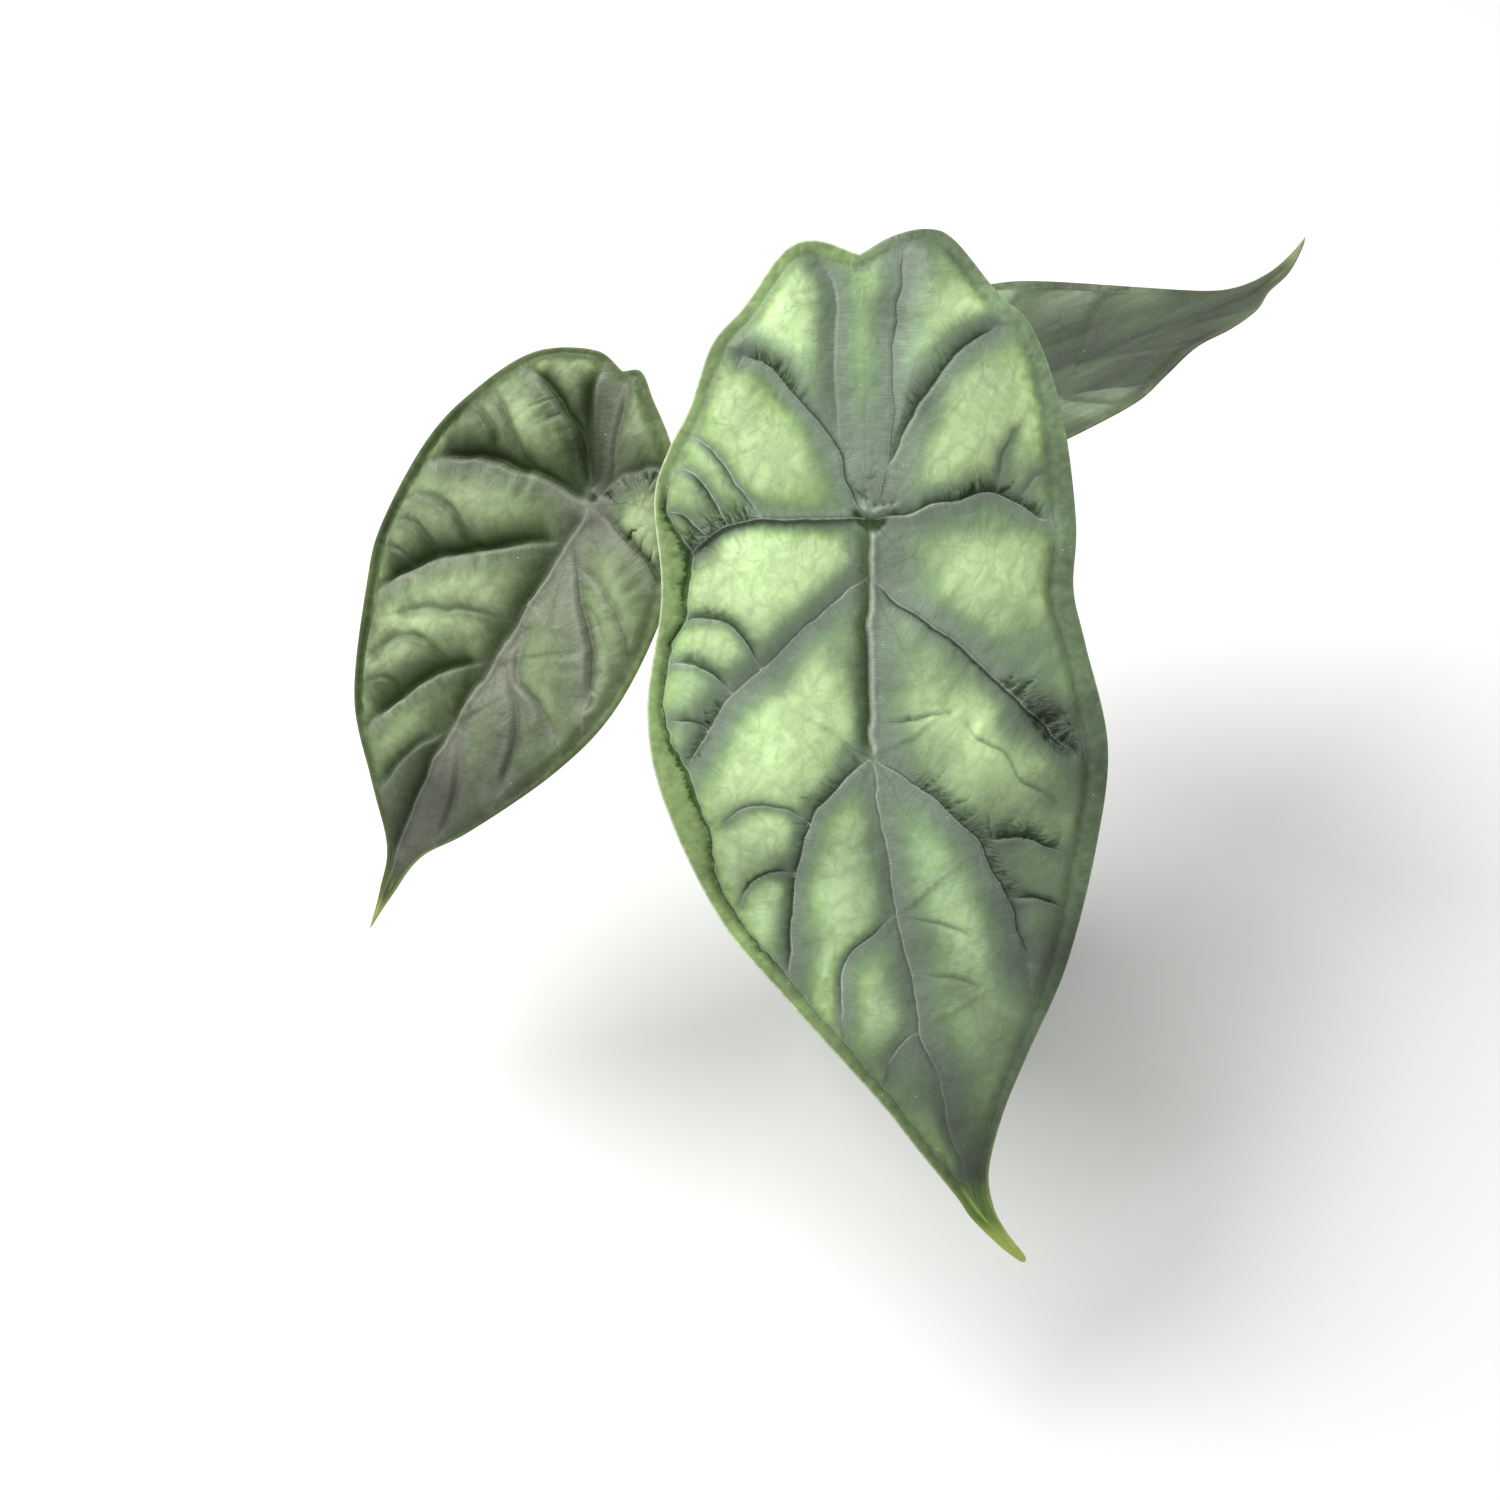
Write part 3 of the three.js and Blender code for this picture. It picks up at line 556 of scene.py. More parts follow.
FRONT = Blade(
    hub=(-16.5, -16, 159), tipward=(0, -1, -1), facing=(0, -1, 1),
    left=[
        (-2, -56), (-11, -59), (-18, -56.5), (-26, -45), (-33, -36.5), (-37.5, -23.5), (-42, -14.5),
        (-45, -4), (-43.5, 16), (-46.5, 40), (-43, 59), (-31.5, 83), (-18, 99.5), (1.5, 121),
        (10, 131.7), (18.4, 142), (21.5, 146.5), (27.5, 152.5), (31.8, 155.8), (33, 156),
    ],
    right=[
        (-2, -56), (5, -60), (12.5, -61.5), (18, -59), (27, -47.5), (34, -40.5), (40, -23), (43, 0),
        (42.5, 14.5), (45, 26), (49.7, 47), (47.3, 68), (41, 93), (33, 111.5), (28, 124), (25.2, 136),
        (26.2, 144), (29, 149.5), (32.9, 154.6), (33, 156),
    ],
    rib=[
        (-2, -56), (0, 0), (-0.5, 25), (0.5, 50), (5, 80), (10.5, 107), (17.5, 130), (22, 140),
        (33, 156),
    ],
    droop=0.0008, droop_from=60, hunch=0.003, cup=0.0012,
    veins=FRONT_VEINS, clouds=FRONT_CLOUDS, dents=FRONT_DENTS, valley=0.85, strip=1.0,
    greyness=1.0, ribs=0.15, soft=0.4, quilt=3.8, lip=0.12,
    borders=(FRONT_LEFT_BORDER, FRONT_RIGHT_BORDER), grooves=(1.0, 0.2), cream=(0.75, 0.1),
    streaks=0.1, gloss=0.4, size=(421, 90), seed=11, root_azimuth=-100, rise=42, reach=34,
)
LEFT = Blade(
    hub=(-77, 16.5, 135), tipward=(-0.486, -0.514, -0.707), facing=(-0.321, -0.647, 0.691),
    left=[
        (-9, -29.5), (-17, -30.5), (-29.5, -23.5), (-38, -10), (-43, 6), (-43, 28), (-39, 41.5),
        (-28, 65.5), (-15.5, 79), (-5, 90.5), (-2, 100), (0, 110),
    ],
    right=[
        (-9, -29.5), (-5, -31.5), (1, -27.5), (9, -22), (17.5, -14), (23.5, -2), (28, 15),
        (28.5, 37), (23, 56), (12, 77), (4, 88.5), (1.5, 100), (0, 110),
    ],
    rib=[(-9, -29.5), (0, 0), (-2.5, 30), (-4, 60), (-3, 80), (0, 110)],
    droop=0.0015, droop_from=50, hunch=0.003, cup=0.001,
    veins=LEFT_VEINS, clouds=LEFT_CLOUDS, dents=LEFT_DENTS, valley=0.0, strip=0.6,
    greyness=0.8, ribs=0.4, soft=1.0, quilt=6.0, lip=0.62,
    borders=(NARROW_BORDER, NARROW_BORDER), grooves=(0.4, 0.2), cream=(0.35, 0.35),
    streaks=0.15, gloss=0.28, size=(321, 78), seed=23, root_azimuth=140, rise=40, reach=36,
)
RIGHT = Blade(
    hub=(8, 61.5, 126.5), tipward=(0.858, 0.511, 0.057), facing=(-0.158, 0.157, 0.975),
    left=[
        (0, -35), (-8, -41), (-18, -41), (-28, -34), (-34, -22), (-37, -5), (-37, 10), (-34, 27),
        (-27, 40), (-19.5, 54), (-17, 66), (-13, 77), (-6.5, 86), (-3, 95), (2, 104),
    ],
    right=[
        (0, -35), (8, -42), (19, -42), (30, -35), (38, -20), (41, 0), (41, 22), (37.5, 37), (30, 48),
        (15, 63), (4.5, 74), (1, 82), (1, 92), (2, 104),
    ],
    rib=[(0, -35), (0, 0), (1, 30), (-1, 55), (-4, 78), (-1, 92), (2, 104)],
    droop=-0.0186, droop_from=87.5, hunch=0.002, cup=-0.0029,
    veins=RIGHT_VEINS, clouds=RIGHT_CLOUDS, dents=[], valley=0.0, strip=0.0,
    greyness=0.8, ribs=0.15, soft=0.9, quilt=2.0, lip=0.2,
    borders=(NARROW_BORDER, NARROW_BORDER), grooves=(0.2, 0.2), cream=(0.2, 0.2),
    streaks=0.65, gloss=0.4, size=(281, 70), seed=37, root_azimuth=20, rise=40, reach=30,
)

# The blade dips along its midrib
RIB_FOLD_DEPTH = 1.2
RIB_FOLD_WIDTH = 9

# How finely the veins and the outline are drawn
VEIN_STEP = 1.5
OUTLINE_POINTS = 200

# How much the mesh's columns crowd towards the margins
COLUMN_CROWDING = 1.25

# How far a vein's fold, its lip and its thin ridge reach from it, and the most a fold can cut in
FOLD_REACH = 1.6
LIP_REACH = 1.8
LINE_REACH = 0.45
DEEPEST_PIT = 2.6

# The pale strip on one side of the midrib, partly a painted highlight, and the sunk valley on its other
# side, darkened with painted shade
STRIP_PLACE = 0.7
STRIP_REACH = 0.65
VALLEY_REACH = 2.3

# How the veins waver: how far, over what length and with which seed
WAVERS = [(0.5, 4.5, 50), (0.13, 1.4, 52)]

# Uneven swellings over each panel, as height, size and seed
BROAD_SWELLING = (0.45, 9, 2)
SMALL_SWELLING = (0.13, 3.4, 3)

# The rolled border's height, and the depth of the small teeth in the left one
BORDER_HEIGHT = 0.7
TEETH_DEPTH = 0.6

# Shifts the brushed bands of one vein against those of the next
BRUSH_SHIFT = 37

# The underside: its least depth at the margin and below the deepest pit near it, how much deeper
# it gets inwards, how high its veins stand, and the knob where the stalk joins
RIM_THICKNESS = 0.3
PIT_THICKNESS = 0.25
UNDER_GAIN = 0.9
BACK_VEIN_HEIGHT = 1.3
HUB_KNOB_HEIGHT = 1.7
HUB_KNOB_REACH = math.sqrt(12)


def blade_axes(blade):
    tipward = Vector(blade.tipward).normalized()
    facing = Vector(blade.facing)
    facing = (facing - tipward * facing.dot(tipward)).normalized()
    lobeward = -tipward
    return [np.array(axis) for axis in (lobeward.cross(facing), lobeward, facing)]


def vein_path(points):
    length = sum(math.dist(a, b) for a, b in zip(points, points[1:]))
    return smooth_curve(points, max(4, round(length / VEIN_STEP)))


def pucker_depth(puckers, distance, side, along, length, seed):
    """How deep the puckers of a vein cut into the panel beside it."""
    rng = np.random.default_rng(seed)
    first = puckers.start * length
    count = round((puckers.end - puckers.start) * length / puckers.spacing) + 1
    wander = 0.35 * lattice_noise(along * 0.8, distance * 0.7, seed)
    deepest = 0.0
    for number in range(count):
        place = first + (number + rng.uniform(-0.6, 0.6)) * puckers.spacing
        reach = puckers.reach * rng.uniform(0.4, 1.4)
        lean = rng.uniform(-0.1, 0.55)
        strength = 0.25 + 0.85 * rng.uniform(0, 1) ** 1.3
        width = puckers.spacing * rng.uniform(0.14, 0.3)
        narrowed = np.maximum(0.3, 1 - distance / (1.6 * reach))
        off = along + wander - place - lean * distance
        fold = strength * bell(off, width * narrowed) * bell(distance, reach, 2.5)
        deepest = np.maximum(deepest, fold)
    return puckers.depth * (side == puckers.side) * smoothstep(0.05, 0.9, distance) * deepest


def blade_relief(blade, x, y):
    """The quilted height of the blade over its smooth form, and what its finish is mixed from."""
    for sway, size, seed in WAVERS:
        x = x + sway * lattice_noise(x / size + 10, y / size + 20, blade.seed + seed)
        y = y + sway * lattice_noise(x / size + 30, y / size + 20, blade.seed + seed + 1)
    pillow = core = ungreyed = light = 1.0
    relief = shadow = wrinkled = back_vein = 0.0
    fold_side = line = crack = brush_along = 0.0
    closest = nearest = second = np.inf
    for number, vein in enumerate(blade.veins):
        distance, side, along, length = nearest_on(vein_path(vein.points), x, y)
        folded = smoothstep(-blade.soft, blade.soft, distance * side * vein.fold)
        unfolded = 1 - folded
        ending = min(5, 0.3 * length)
        fade = smoothstep(0, ending, along) * (1 - smoothstep(length - ending, length + 0.5, along))
        depth = vein.depth * fade
        width = blend(vein.widths[1], vein.widths[0], folded)
        lip = blade.lip * vein.lip * unfolded * fade
        pillow *= 1 - vein.pinch * (1 - lip) * bell(distance, width, 1.4)
        core *= 1 - vein.pinch * bell(distance, 0.55 * width, 1.6)
        relief -= depth * folded * bell(distance, FOLD_REACH, 1)
        relief += 0.3 * depth * unfolded * bell(distance, LIP_REACH)
        relief += 0.3 * vein.line * fade * bell(distance, LINE_REACH)
        for puckers in vein.puckers:
            cut = pucker_depth(puckers, distance, side, along, length, blade.seed + number)
            relief -= cut
            shadow = np.maximum(shadow, min(1.7, 3.6 / puckers.spacing) * cut)
            row = between(puckers.start * length, puckers.end * length, along, 1.5)
            row = puckers.depth * row * (side == puckers.side)
            wrinkled = np.maximum(wrinkled, row * bell(distance, puckers.reach))
        reach = blend(vein.greys[1], vein.greys[0], folded)
        ungreyed *= 1 - blade.greyness * vein.pinch**0.5 * bell(distance, reach, 1.5)
        ragged = lattice_noise(along * 1.4, distance * 0.5, blade.seed + 90 + number)
        shade = vein.shade * (1 + (1 - blade.soft) * ragged)
        shadow = np.maximum(shadow, vein.dark * fade * folded * bell(distance, shade, 1.5))
        closer = distance < closest
        closest = np.where(closer, distance, closest)
        fold_side = np.where(closer, distance * side * vein.fold, fold_side)
        line = np.where(closer, vein.line * (0.5 + 0.5 * fade), line)
        crack = np.where(closer, min(1, vein.depth) * fade * (1.15 - 0.85 * blade.soft), crack)
        if number == 0:
            ends = smoothstep(2, 3.5, along) * (1 - smoothstep(length - 1, length + 0.5, along))
            strip = blade.strip * ends * unfolded * bell(distance - STRIP_PLACE, STRIP_REACH)
            valley = blade.valley * ends * folded * bell(distance, VALLEY_REACH, 4)
            relief += 0.4 * strip - 0.5 * valley
        thin = 1.2 - 0.8 * along / length
        back_vein = np.maximum(back_vein, vein.pinch * bell(distance, thin) * (0.3 + 0.7 * fade))
        if vein.pinch == 1.0:
            closer = distance < nearest
            second = np.minimum(second, np.maximum(nearest, distance))
            nearest = np.where(closer, distance, nearest)
            brush_along = np.where(closer, along + number * BRUSH_SHIFT, brush_along)
    # Clouds: painted shade darkens the blade, and painted light brightens it where dark is below zero
    for centre_x, centre_y, reach, grey, dark in blade.clouds:
        here = bell(np.hypot(x - centre_x, y - centre_y), reach)
        ungreyed *= 1 - grey * here
        light *= 1 - dark * here
    # Dents: painted shade in the pits and painted light on the knobs
    for centre_x, centre_y, reach, depth in blade.dents:
        here = depth * bell(np.hypot(x - centre_x, y - centre_y), reach)
        relief -= here
        shadow = np.maximum(shadow, 1.3 * here)
        light *= 1 - 0.3 * np.minimum(0, here)
    ribs = blade.ribs * lattice_noise(brush_along / 2.4, nearest / 12, blade.seed + 7)
    ribs *= smoothstep(0.5, 6, second - nearest) * smoothstep(0, 3, nearest)
    return pillow, relief, {
        "ribs": ribs, "core": core, "strip": strip, "valley": valley, "grey": 1 - ungreyed,
        "shadow": shadow, "closest": closest, "fold_side": fold_side, "line": line, "crack": crack,
        "light": light, "back_vein": back_vein, "wrinkled": wrinkled,
        "brush_across": nearest, "brush_along": brush_along,
    }


def swelling(x, y, kind, first_seed):
    height, size, seed = kind
    return height * lattice_noise(x / size, y / size, first_seed + seed)


def border_at(border, y):
    """The border's width and its groove's reach at these tipward places."""
    places, widths, reaches = zip(*border)
    return np.array([np.interp(y, places, widths), np.interp(y, places, reaches)])


def blade_face(blade, x, y, rib_x, lane):
    """Heights of the upper and the under face, with what the finish is mixed from."""
    pillow, relief, look = blade_relief(blade, x, y)
    tip = blade.rib[-1][1]
    left = smooth_curve(blade.left, OUTLINE_POINTS)
    back_along_right = smooth_curve(blade.right, OUTLINE_POINTS)[-2::-1]
    edge, _, around, _ = nearest_on(np.vstack([left, back_along_right]), x, y)
    leftness = smoothstep(-8, 8, rib_x - x)
    crisp = between(-6, tip * 0.62, y, 5)
    left_border, right_border = (border_at(border, y) for border in blade.borders)
    band, dark_reach = blend(right_border, left_border, leftness)
    band = band * (1 + 0.08 * lattice_noise(around * 0.09, around * 0, blade.seed + 1))
    groove = blend(blade.grooves[1], blade.grooves[0], leftness)
    groove = groove * np.maximum(crisp, 0.12 + 0.4 * smoothstep(0, 20, y))
    softness = 2.2 - 1.5 * crisp * np.minimum(1, groove)
    inside = smoothstep(-softness, softness, edge - band)
    past_band = np.maximum(0, edge - band * 0.8)

    taper = 1 - smoothstep(tip * 0.5, tip * 0.95, y)
    swell = 1 - bell(past_band, 3.2, 1)
    quilt = blade.quilt * pillow * swell * (0.3 + 0.7 * taper)
    quilt += swelling(x, y, BROAD_SWELLING, blade.seed) * pillow * swell
    quilt += swelling(x, y, SMALL_SWELLING, blade.seed) * pillow
    quilt += look["ribs"] * swell
    rolled = 1 - ((edge - band * 0.45) / (band * 0.6)) ** 2
    rolled = BORDER_HEIGHT * rolled * taper * (0.2 + 0.8 * crisp)
    smooth = blend(rolled, quilt, inside)

    ragged = 1 + 0.3 * lattice_noise(around * 0.7, edge * 0.5, blade.seed + 4)
    past = edge - band + 0.35 * lattice_noise(around * 0.6, around * 0, blade.seed + 6)
    cut = groove * ragged * bell(past, np.where(past > 0, 0.5, 0.6 + 0.4 * dark_reach))
    teeth = leftness * between(-4, 30, y, 5) * between(-0.6, 0.15, past / band, 0.15)
    teeth *= np.abs(lattice_noise(around * 0.55, edge * 0.1, blade.seed + 5))
    teeth *= min(1, blade.grooves[0])
    pits = np.minimum(0, relief)
    relief += DEEPEST_PIT * np.tanh(pits / DEEPEST_PIT) - pits
    height = smooth + inside * relief - cut - TEETH_DEPTH * teeth
    veined = BACK_VEIN_HEIGHT * look["back_vein"] * smoothstep(band, band + 9, edge)
    veined += HUB_KNOB_HEIGHT * bell(np.hypot(x, y), HUB_KNOB_REACH)
    under = smooth - RIM_THICKNESS - UNDER_GAIN * (1 - bell(edge, 2.5, 1)) - veined
    under = np.minimum(height - RIM_THICKNESS, under)
    from_rib = x - rib_x
    form = RIB_FOLD_DEPTH * (1 - bell(from_rib, RIB_FOLD_WIDTH)) - blade.cup * from_rib**2
    form -= blade.droop * np.maximum(0, y - blade.droop_from) ** 2
    form -= blade.hunch * np.maximum(0, -y - 15) ** 2

    look["core"] *= 1 - bell(past_band, 2.4, 1)
    look["wrinkled"] *= 1.1 - 0.6 * blade.soft
    for name in ("core", "strip", "valley", "shadow", "line", "crack", "wrinkled"):
        look[name] = look[name] * inside
    # Painted shade also falls in the margin's groove and between the border's teeth
    look["shadow"] = np.clip(look["shadow"] + cut / 5 + 0.5 * teeth, 0, 2)
    cream = blend(blade.cream[1], blade.cream[0], leftness)
    look["cream"] = cream * (1 - smoothstep(0.15, 0.5, edge))
    look["tip_edge"] = smoothstep(tip - 38, tip - 14, y) * (1 - smoothstep(0.2, 0.9, edge))
    look["groove"] = groove * np.clip(ragged, 0, 1.3)
    look["band"] = 1 - inside
    look |= {"past": past, "around": around, "dark_reach": dark_reach, "leftness": leftness}
    look |= {"lane": lane, "across": x, "tipward": y}
    return form + height, form + under, look


def add_mesh(name, vertices, faces, smooth=True):
    """A new mesh object from corners in millimetres."""
    mesh = bpy.data.meshes.new(name)
    mesh.from_pydata((np.asarray(vertices) * MM).tolist(), [], faces)
    mesh.validate()
    if smooth:
        mesh.shade_smooth()
    piece = bpy.data.objects.new(name, mesh)
    bpy.context.scene.collection.objects.link(piece)
    return piece


def dress(piece, slot_name, material, *replaced):
    piece.data.materials.clear()
    piece.data.materials.append(material)
    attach(piece, "root")
    if replaced:
        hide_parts(*replaced)


def set_attribute(mesh, name, values):
    layer = mesh.attributes.new(name, "FLOAT", "POINT")
    layer.data.foreach_set("value", np.asarray(values, np.float32))


def grid_faces(number, order=(0, 1, 2, 3)):
    """A face for each cell of a grid of corner numbers.

    Its corners go along the row, then to the next row and back; order says which comes first and
    which way they go.
    """
    corners = [number[:-1, :-1], number[:-1, 1:], number[1:, 1:], number[1:, :-1]]
    return np.stack([corners[place] for place in order], -1).reshape(-1, 4).tolist()


def ring_numbers(rings, sides):
    """Corner numbers of stacked rings. Each row ends with its first corner, which closes the ring."""
    number = np.arange(rings * sides).reshape(rings, sides)
    return np.hstack([number, number[:, :1]])


def neighbours(grid):
    """The grid shifted to each of the 25 places of a 5 by 5 window."""
    rows, columns = grid.shape
    padded = np.pad(grid, 2, mode="edge")
    return [padded[down:down + rows, over:over + columns] for down in range(5) for over in range(5)]


def blade_mesh(name, blade):
    """The blade as one closed skin: a fine upper face, the under face and the rim where they meet."""
    rows, half = blade.size
    spread = 1 - (1 - np.linspace(0, 1, half + 1)) ** COLUMN_CROWDING
    left, right, rib = (smooth_curve(line, rows) for line in (blade.left, blade.right, blade.rib))
    to_left = rib[:, None] + (left - rib)[:, None] * spread[None, ::-1, None]
    to_right = rib[:, None] + (right - rib)[:, None] * spread[None, 1:, None]
    flat = np.concatenate([to_left, to_right], 1)
    columns = flat.shape[1]
    x, y = flat.reshape(-1, 2).T
    rib_x = np.repeat(rib[:, 0], columns)
    lane = np.tile(np.concatenate([-spread[::-1], spread[1:]]), rows)
    height, under, attributes = blade_face(blade, x, y, rib_x, lane)
    lowest = np.min(neighbours(height.reshape(rows, columns)), axis=0).ravel()
    under = np.minimum(under, lowest - PIT_THICKNESS)
    under = np.mean(neighbours(under.reshape(rows, columns)), axis=0).ravel()
    across, lobeward, facing = blade_axes(blade)

    def place(z):
        return np.array(blade.hub) + x[:, None] * across - y[:, None] * lobeward + z[:, None] * facing

    # The under face takes every second corner each way, and shares the upper face's rim
    count = rows * columns
    number = np.arange(count).reshape(rows, columns)
    number[0, :] = number[0, 0]
    number[-1, :] = number[-1, 0]
    below = number[::2, ::2] + count
    below[:, 0] = number[::2, 0]
    below[:, -1] = number[::2, -1]
    below[0, :] = number[0, 0]
    below[-1, :] = number[-1, 0]
    faces = grid_faces(number, (0, 3, 2, 1)) + grid_faces(below[:, 1:-1], (1, 2, 3, 0))
    for margin, beside, order in ((0, 1, 1), (-1, -2, -1)):
        for row in range(len(below) - 1):
            along_margin = number[2 * row:2 * row + 3, margin].tolist()
            corners = along_margin[::-1] + below[row:row + 2, beside].tolist()
            faces.append(corners[::order])
    faces = [[c for k, c in enumerate(corners) if c != corners[k - 1]] for corners in faces]
    used = np.unique(np.concatenate([number.ravel(), below.ravel()]))
    renumber = np.full(2 * count, -1)
    renumber[used] = np.arange(len(used))
    faces = [renumber[corners].tolist() for corners in faces if len(corners) > 2]
    piece = add_mesh(name, np.vstack([place(height), place(under)])[used], faces)
    for key, values in attributes.items():
        set_attribute(piece.data, key, np.concatenate([values, values])[used])
    set_attribute(piece.data, "under", used >= count)
    return piece


# Colours of a blade, as linear light. Its panels go from olive at the veins through green and lime
# to pale on their tops, partly painted shade and light. grey and teal brush the bands along the
# veins, and valley, shadow and groove are painted shade in the midrib's valley, the folds, cracks,
# wrinkles and pits, and the margin's groove. band and band_left are the border at the right and
# the left, their difference in brightness partly painted shade, rim the edge itself, vein the
# raised lines, partly a painted highlight, tip and stripe the drawn-out tip, and back and back_vein
# the underside.
BladeColours = namedtuple(
    "BladeColours",
    "pale lime green olive teal grey valley shadow groove "
    "band band_left vein rim tip stripe back back_vein",
)
FRONT_COLOURS = BladeColours(
    pale=(0.55, 0.74, 0.36), lime=(0.36, 0.53, 0.19), green=(0.21, 0.31, 0.13),
    olive=(0.16, 0.225, 0.13), teal=(0.18, 0.275, 0.155), grey=(0.195, 0.238, 0.188),
    valley=(0.1, 0.155, 0.06), shadow=(0.034, 0.08, 0.014), groove=(0.038, 0.1, 0.008),
    band=(0.14, 0.205, 0.105), band_left=(0.235, 0.35, 0.115), vein=(0.44, 0.5, 0.42),
    rim=(0.66, 0.74, 0.5), tip=(0.31, 0.38, 0.08), stripe=(0.075, 0.15, 0.02),
    back=(0.3, 0.4, 0.2), back_vein=(0.42, 0.5, 0.24),
)
# The left blade: the front blade's colour scheme made darker, with painted shade in it
LEFT_COLOURS = BladeColours(
    pale=(0.4, 0.5, 0.27), lime=(0.22, 0.29, 0.135), green=(0.1, 0.15, 0.055),
    olive=(0.085, 0.115, 0.05), teal=(0.15, 0.2, 0.105), grey=(0.235, 0.24, 0.195),
    valley=(0.06, 0.09, 0.03), shadow=(0.024, 0.05, 0.008), groove=(0.04, 0.075, 0.012),
    band=(0.1, 0.14, 0.05), band_left=(0.057, 0.09, 0.024), vein=(0.26, 0.26, 0.22),
    rim=(0.23, 0.28, 0.115), tip=(0.26, 0.33, 0.08), stripe=(0.07, 0.1, 0.03),
    back=(0.2, 0.27, 0.13), back_vein=(0.3, 0.35, 0.16),
)
# The right blade: darker still and duller, with painted shade in it
RIGHT_COLOURS = BladeColours(
    pale=(0.2, 0.26, 0.17), lime=(0.14, 0.185, 0.105), green=(0.1, 0.13, 0.075),
    olive=(0.085, 0.11, 0.06), teal=(0.08, 0.118, 0.06), grey=(0.072, 0.096, 0.062),
    valley=(0.05, 0.07, 0.035), shadow=(0.04, 0.06, 0.036), groove=(0.045, 0.068, 0.04),
    band=(0.09, 0.12, 0.052), band_left=(0.1, 0.135, 0.06), vein=(0.14, 0.18, 0.15),
    rim=(0.18, 0.22, 0.13), tip=(0.19, 0.23, 0.09), stripe=(0.06, 0.085, 0.035),
    back=(0.2, 0.27, 0.13), back_vein=(0.3, 0.35, 0.16),
)
COOL_TINT = (0.98, 1.0, 1.13)
DUST_COLOUR = (0.8, 0.84, 0.74)
MAROON = (0.17, 0.075, 0.06)


